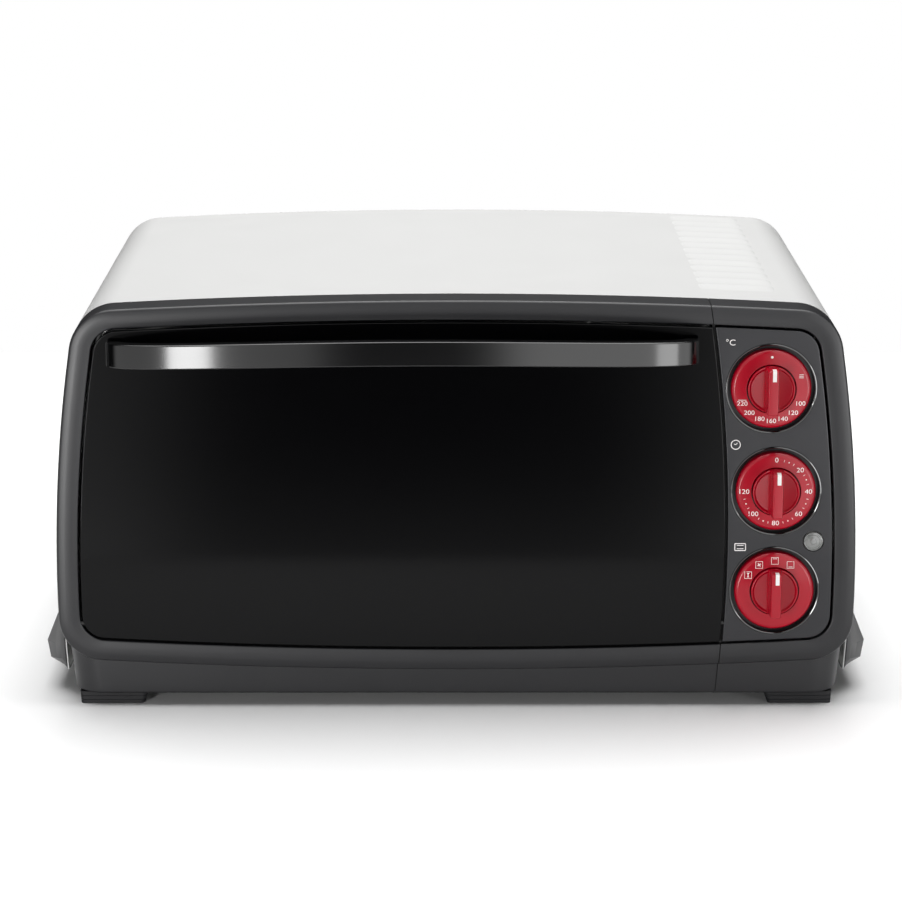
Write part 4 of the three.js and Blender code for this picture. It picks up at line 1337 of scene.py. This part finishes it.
@dataclass
class Prints:
    """White print on the dials and the panel, as thin raised ink."""

    ink: float = 0.08
    radius: float = 18.6
    panel: ControlPanel = field(default_factory=ControlPanel)

    def dial_y(self, r: float) -> float:
        """The dial's surface at a radius."""
        for (r0, y0), (r1, y1) in zip(DIAL_FACE, DIAL_FACE[1:]):
            if r <= r1:
                return y0 + (y1 - y0) * max(0.0, r - r0) / (r1 - r0)
        return DIAL_FACE[-1][1]

    def build(self) -> None:
        """Make every print."""
        for scale, (x, z) in self.panel.controls.items():
            marks: list[bpy.types.Mesh] = []
            if scale is Scale.TEMPERATURE:
                for i in range(7):
                    marks.append(self.text(str(100 + 20 * i), x, z, 117 + 21 * i, 2.75))
                marks.append(self.bar(x, z, 243, 2.1, 4.6))
                marks.append(self.disc(x, z, 0, 0.75))
                marks += [self.bar(x, z, 66, offset, 2.6) for offset in (-0.9, 0.0, 0.9)]
            elif scale is Scale.TIMER:
                for i, angle in enumerate((0, 47, 90, 135, 180, 225, 270)):
                    marks.append(self.text(str(20 * i), x, z, angle, 2.9))
                for gap in range(6):
                    for part, size in ((0.3, 0.0), (0.5, 0.38), (0.7, 0.0)):
                        angle = 45 * gap + 45 * part
                        marks.append(self.disc(x, z, angle, size) if size else self.tick(x, z, angle))
            else:
                for angle, kind in ((-58, 0), (-30, 1), (0, 2), (30, 3)):
                    marks += self.icon(x, z, angle, kind)
            self.join(scale.value + "_print", marks)
        self.legends()

    def join(self, name: str, meshes: list[bpy.types.Mesh]) -> None:
        """Join printed marks into one piece."""
        work = bmesh.new()
        for mesh in meshes:
            work.from_mesh(mesh)
            bpy.data.meshes.remove(mesh)
        joined = bpy.data.meshes.new(name)
        work.to_mesh(joined)
        work.free()
        settle(name, joined, WHITE_PRINT, "oven", slot="white_plastic")

    def spot(self, x: float, z: float, angle: float, radius: float | None = None) -> tuple[float, float]:
        """A place on a dial, by its angle clockwise from the top."""
        r = self.radius if radius is None else radius
        a = math.radians(angle)
        return x + r * math.sin(a), z + r * math.cos(a)

    def slab(self, outline: Outline, y: Callable[[float, float], float]) -> bpy.types.Mesh:
        """A thin raised shape over a surface.

        Args:
            outline: Its (x, z) outline.
            y: The surface's y at a point.

        Returns:
            The mesh.
        """
        front = [(x, y(x, z) - self.ink, z) for x, z in outline]
        back = [(x, y(x, z) + self.ink, z) for x, z in outline]
        return Patch().skin([front, back], caps=True).mesh("mark")

    def on_dial(self, x: float, z: float) -> Callable[[float, float], float]:
        """The surface of the dial centred at a point."""
        return lambda px, pz: self.dial_y(math.hypot(px - x, pz - z))

    def disc(self, x: float, z: float, angle: float, size: float) -> bpy.types.Mesh:
        """A dot on a dial."""
        return self.slab(circle(self.spot(x, z, angle), size, 24), self.on_dial(x, z))

    def tick(self, x: float, z: float, angle: float) -> bpy.types.Mesh:
        """A short radial line on a dial."""
        start = self.spot(x, z, angle, self.radius - 0.6)
        end = self.spot(x, z, angle, self.radius + 0.6)
        return self.line(start, end, 0.26, self.on_dial(x, z))

    def line(
        self, start: Sequence[float], end: Sequence[float], width: float, y: Callable[[float, float], float],
    ) -> bpy.types.Mesh:
        """A printed line.

        Args:
            start: Where it starts, as (x, z).
            end: Where it ends.
            width: Its width.
            y: The surface's y at a point.

        Returns:
            The mesh.
        """
        (x0, z0), (x1, z1) = start, end
        share = width / 2 / math.dist(start, end)
        nx, nz = (z1 - z0) * share, (x0 - x1) * share
        outline = [(x0 - nx, z0 - nz), (x0 + nx, z0 + nz), (x1 + nx, z1 + nz), (x1 - nx, z1 - nz)]
        return self.slab(outline, y)

    def bar(self, x: float, z: float, angle: float, offset: float, width: float) -> bpy.types.Mesh:
        """A thin level bar near a dial position."""
        cx, cz = self.spot(x, z, angle)
        w, h = width / 2, 0.15
        return self.slab(box_of(cx - w, cz + offset - h, cx + w, cz + offset + h), self.on_dial(x, z))

    def icon(self, x: float, z: float, angle: float, kind: int) -> list[bpy.types.Mesh]:
        """A square cooking symbol on the function dial, with its filling by kind."""
        cx, cz = self.spot(x, z, angle, 18.1)
        size, line = 2.1, 0.24
        surface = self.on_dial(x, z)
        def stroke(x0: float, z0: float, x1: float, z1: float) -> bpy.types.Mesh:
            """An upright rectangle about the symbol's centre."""
            return self.slab(box_of(cx + x0, cz + z0, cx + x1, cz + z1), surface)
        inner = size - line
        marks = [
            stroke(-size, inner, size, size), stroke(-size, -size, size, -inner),
            stroke(-size, -inner, -inner, inner), stroke(inner, -inner, size, inner),
        ]
        if kind == 0:
            marks += [
                stroke(-line, -1.3, line, 1.3), stroke(-0.6, 0.9, 0.6, 1.3), stroke(-0.6, -1.3, 0.6, -0.9),
            ]
        elif kind == 1:
            marks.append(self.slab(circle((cx, cz), 0.45, 12), surface))
            for turn in range(4):
                t = math.pi / 2 * turn + 0.4
                tip = (cx + 1.35 * math.cos(t), cz + 1.35 * math.sin(t))
                side = (cx + 0.9 * math.cos(t + 0.7), cz + 0.9 * math.sin(t + 0.7))
                marks.append(self.slab([(cx, cz), tip, side], surface))
        elif kind == 2:
            marks.append(stroke(-1.2, 1.05, 1.2, 1.35))
        else:
            marks.append(stroke(-1.2, -1.35, 1.2, -1.05))
        return marks

    def text(self, words: str, x: float, z: float, angle: float, size: float) -> bpy.types.Mesh:
        """Upright figures on a dial."""
        return self.letters(words, self.spot(x, z, angle), size, self.on_dial(x, z))

    def letters(
        self, words: str, centre: tuple[float, float], size: float, y: Callable[[float, float], float],
    ) -> bpy.types.Mesh:
        """Figures laid on a surface.

        Args:
            words: What they say.
            centre: Their middle.
            size: The type's size in millimetres.
            y: The surface's y at a point.

        Returns:
            The mesh.
        """
        curve = bpy.data.curves.new("figures", "FONT")
        curve.body, curve.size, curve.extrude = words, size * 1.35, self.ink
        curve.align_x, curve.align_y, curve.resolution_u = "CENTER", "CENTER", 4
        holder = put("figures", curve)
        bpy.context.view_layer.update()
        shown = holder.evaluated_get(bpy.context.evaluated_depsgraph_get())
        mesh = bpy.data.meshes.new_from_object(shown)
        for vertex in mesh.vertices:
            px, pz = centre[0] + vertex.co.x * 1.12, centre[1] + vertex.co.y
            vertex.co = place([(px, y(px, pz) - vertex.co.z, pz)])[0]
        bpy.data.objects.remove(holder)
        bpy.data.curves.remove(curve)
        return mesh

    def legends(self) -> None:
        """The signs beside the dials on the panel: degrees, a clock and an oven box."""
        marks = [self.letters("°C", (156.3, 216.4), 3.6, self.on_panel)]
        clock = x, z = 160.3, 156.9
        marks.append(self.hoop(clock, 2.9, 0.5))
        for hand in ((x + 1.0, z + 1.1), (x - 1.0, z + 0.5)):
            marks.append(self.line(clock, hand, 0.4, self.on_panel))
        x0, x1, z0, z1 = 160.9, 167.1, 94.3, 98.4
        corners = box_of(x0, z0, x1, z1)
        for start, end in zip(corners, corners[1:] + corners[:1]):
            marks.append(self.line(start, end, 0.5, self.on_panel))
        for level in (z1 - 1.1, z0 + 1.1):
            marks.append(self.line((x0 + 1.2, level), (x1 - 1.2, level), 0.4, self.on_panel))
        self.join("panel_print", marks)

    def on_panel(self, _x: float, _z: float) -> float:
        """The panel's flat face."""
        return self.panel.front

    def hoop(self, centre: tuple[float, float], outer: float, line: float) -> bpy.types.Mesh:
        """A ring printed on the panel."""
        loops = []
        for radius, lift in ((outer, -1), (outer, 1), (outer - line, 1), (outer - line, -1)):
            loops.append(at_depth(circle(centre, radius, 48), self.panel.front + lift * self.ink))
        return Patch().skin(loops, along=True).mesh("hoop")


# ---------------------------------------------------------------- inside and behind

# finish, bevel in millimetres, and the nodes that take them
KEPT_NODES: tuple[tuple[Finish, float, tuple[str, ...]], ...] = (
    (SHEET_STEEL, 0.1, ("heat_shield",)),
    (SHEET_STEEL, 0.15, ("crumb_tray", "back_panel")),
    (SHEET_STEEL, 0.2, ("base_pan", "cavity_liner", "fan_guard")),
    (SHEET_STEEL, 0.5, ("fan_motor",)),
    (BLACK_ENAMEL, 0.0, ("cavity_flange", "door_frame")),
    (BLACK_ENAMEL, 0.2, ("baking_tray",)),
    (DEEP_BLACK, 0.0, ("left_hinge", "right_hinge")),
    (CLEAR_GLASS, 0.3, ("door_inner_glass",)),
    (BRIGHT_STEEL, 0.0, ("wire_rack",)),
    (BRIGHT_STEEL, 0.2, ("left_rail", "right_rail", "left_door_stay", "right_door_stay")),
    (BRIGHT_STEEL, 0.2, ("temperature_spindle", "timer_spindle", "function_spindle")),
    (BRIGHT_STEEL, 0.2, ("fan_blade", "fan_shaft")),
    (ELEMENT_STEEL, 0.0, ("upper_front_element", "upper_rear_element")),
    (ELEMENT_STEEL, 0.0, ("lower_front_element", "lower_rear_element")),
    (PHENOLIC, 0.3, ("terminal_block",)),
    (PHENOLIC, 0.5, ("thermostat_body", "timer_body", "selector_switch")),
    (WHITE_PLASTIC, 0.3, ("pilot_lamp_body",)),
    (RUBBER, 0.3, ("cord_gland",)),
    (DARK_MOULDING, 0.8, ("left_wall_spacer", "right_wall_spacer")),
)


@dataclass
class Inside:
    """The CAD nodes that keep their own shape, and a near-black sheet of painted shade behind the vents."""

    vent_shade_y: float = 333.2
    vent_shade_thick: float = 0.6
    vent_banks: tuple[tuple[float, float, float, float], ...] = (
        (-81.0, 9.0, 93.0, 174.0), (141.0, 201.0, 115.0, 196.0),
    )

    def build(self) -> None:
        """Dress every kept node, and add the painted shade behind the vents."""
        for finish, bevel_mm, nodes in KEPT_NODES:
            for node in nodes:
                dress(node, finish, bevel_mm)
        self.vent_shade()

    def vent_shade(self) -> None:
        """A near-black sheet of painted shade just inside both banks of vents in the back panel, so that the
        vents read dark.
        """
        patch = Patch()
        for x0, x1, z0, z1 in self.vent_banks:
            sheet = box_of(x0, z0, x1, z1)
            faces = (self.vent_shade_y, self.vent_shade_y + self.vent_shade_thick)
            patch.skin([at_depth(sheet, y) for y in faces], caps=True)
        # painted shade: the sheet stands for the darkness seen through the vents
        patch.piece("vent_gauze", DEEP_BLACK, "oven", slot="dark_moulding")


# ---------------------------------------------------------------- studio

@dataclass
class Studio:
    """The pale floor, the soft lights, the surround and the camera."""

    lens: float = 133.6
    eye: Point = (-5.2, -1870.6, 582.1)
    pitch: float = 12.91
    yaw: float = 0.07
    floor_half: float = 0.85
    floor_front: float = -0.5
    floor_back: float = 0.9
    floor_tone: float = 0.94
    room: float = 0.03
    fill: float = 0.12
    low_glow: Point = (-0.222, -0.27, 0.95)
    left_glow: Point = (-0.065, -0.11, 1.5)
    right_glow: Point = (0.045, 0.14, 3.2)

    def build(self) -> None:
        """Make the studio."""
        self.camera()
        self.floor()
        self.surround()
        self.softbox("top", (0.0, 0.15, 1.9), (0.0, 0.05, 0.0), (2.2, 1.7), 58.0)
        self.softbox("left", (-0.53, -1.05, 0.1), (-0.15, -0.2, 0.2), (0.2, 0.42), 5.5)
        self.softbox("right", (0.78, -0.84, 0.1), (0.11, -0.2, 0.2), (0.3, 0.42), 2.2)
        self.softbox("behind", (0.0, 1.5, 1.9), (0.0, 0.1, 0.1), (1.2, 0.6), 12.0)
        bpy.context.scene.view_settings.view_transform = "Standard"

    def camera(self) -> None:
        """The camera, looking down at the front."""
        data = bpy.data.cameras.new("camera")
        data.lens = self.lens
        data.sensor_width = 36.0
        data.clip_start, data.clip_end = 0.05, 50.0
        camera = put("camera", data)
        camera.location = place([self.eye])[0]
        camera.rotation_euler = (math.radians(90 - self.pitch), 0.0, math.radians(-self.yaw))
        bpy.context.scene.camera = camera

    def floor(self) -> None:
        """A pale table top under the oven."""
        half, front, back = self.floor_half, self.floor_front, self.floor_back
        mesh = bpy.data.meshes.new("floor")
        corners = [(-half, front, 0), (half, front, 0), (half, back, 0), (-half, back, 0)]
        mesh.from_pydata(corners, [], [(0, 1, 2, 3)])
        shader = Shader("floor")
        tone = self.floor_tone
        shader.set(Base_Color=(tone, tone, tone, 1.0), Roughness=0.9, Specular_IOR_Level=0.1)
        mesh.materials.append(shader.material)
        put("floor", mesh)

    def softbox(self, name: str, at: Point, toward: Point, size: tuple[float, float], power: float) -> None:
        """One rectangular area light.

        Args:
            name: Its name.
            at: Where it stands, in metres.
            toward: What it faces, in metres.
            size: Its width and height, in metres.
            power: Its power in watts.
        """
        data = bpy.data.lights.new(name, "AREA")
        data.shape = "RECTANGLE"
        data.size, data.size_y, data.energy = size[0], size[1], power
        lamp = put(name, data)
        lamp.location = at
        lamp.rotation_euler = (Vector(toward) - Vector(at)).to_track_quat("-Z", "Y").to_euler()

    def surround(self) -> None:
        """A white backdrop, with a dim room for reflections that brightens low down and to the sides."""
        world = bpy.data.worlds.new("surround")
        world.use_nodes = True
        tree = world.node_tree
        def add(kind: str) -> bpy.types.Node:
            """A node of the world's tree."""
            return tree.nodes.new("ShaderNode" + kind)
        backdrop = tree.nodes["Background"]
        backdrop.inputs["Color"].default_value = (1.0, 1.0, 1.0, 1.0)
        axes = add("SeparateXYZ")
        tree.links.new(add("TexCoord").outputs["Generated"], axes.inputs[0])
        across, along, up = (Wire(tree, socket) for socket in axes.outputs)
        def ramp(value: Wire, dark: float, bright: float, top: float) -> Wire:
            """Brightness that rises from nothing at one value to its top at another."""
            node = add("MapRange")
            node.interpolation_type = "SMOOTHSTEP"
            tree.links.new(value.socket, node.inputs["Value"])
            for key, number in (("From Min", dark), ("From Max", bright), ("To Min", 0.0), ("To Max", top)):
                node.inputs[key].default_value = number
            return Wire(tree, node.outputs["Result"])
        low, left, right = self.low_glow, self.left_glow, self.right_glow
        glow = ramp(up, *low) + ramp(across, *left) + ramp(across, *right)
        glow = glow * ramp(along, 0.0, -0.3, 1.0)
        mirrored = add("Background")
        tree.links.new((glow + self.room).socket, mirrored.inputs["Strength"])
        fill = add("Background")
        fill.inputs["Strength"].default_value = self.fill
        path = add("LightPath")
        indoors, shown = add("MixShader"), add("MixShader")
        tree.links.new(path.outputs["Is Glossy Ray"], indoors.inputs["Fac"])
        tree.links.new(fill.outputs[0], indoors.inputs[1])
        tree.links.new(mirrored.outputs[0], indoors.inputs[2])
        tree.links.new(path.outputs["Is Camera Ray"], shown.inputs["Fac"])
        tree.links.new(indoors.outputs[0], shown.inputs[1])
        tree.links.new(backdrop.outputs[0], shown.inputs[2])
        tree.links.new(shown.outputs[0], tree.nodes["World Output"].inputs["Surface"])
        bpy.context.scene.world = world


def main() -> None:
    """Build the oven and its studio."""
    logging.basicConfig(level=logging.INFO, format="%(name)s: %(message)s")
    Studio().build()
    FrontMoulding().build()
    WrapCover().build()
    SideGrips().build()
    Feet().build()
    Door().build()
    panel = ControlPanel()
    panel.build()
    Prints(panel=panel).build()
    Inside().build()


if __name__ == "__main__":
    main()
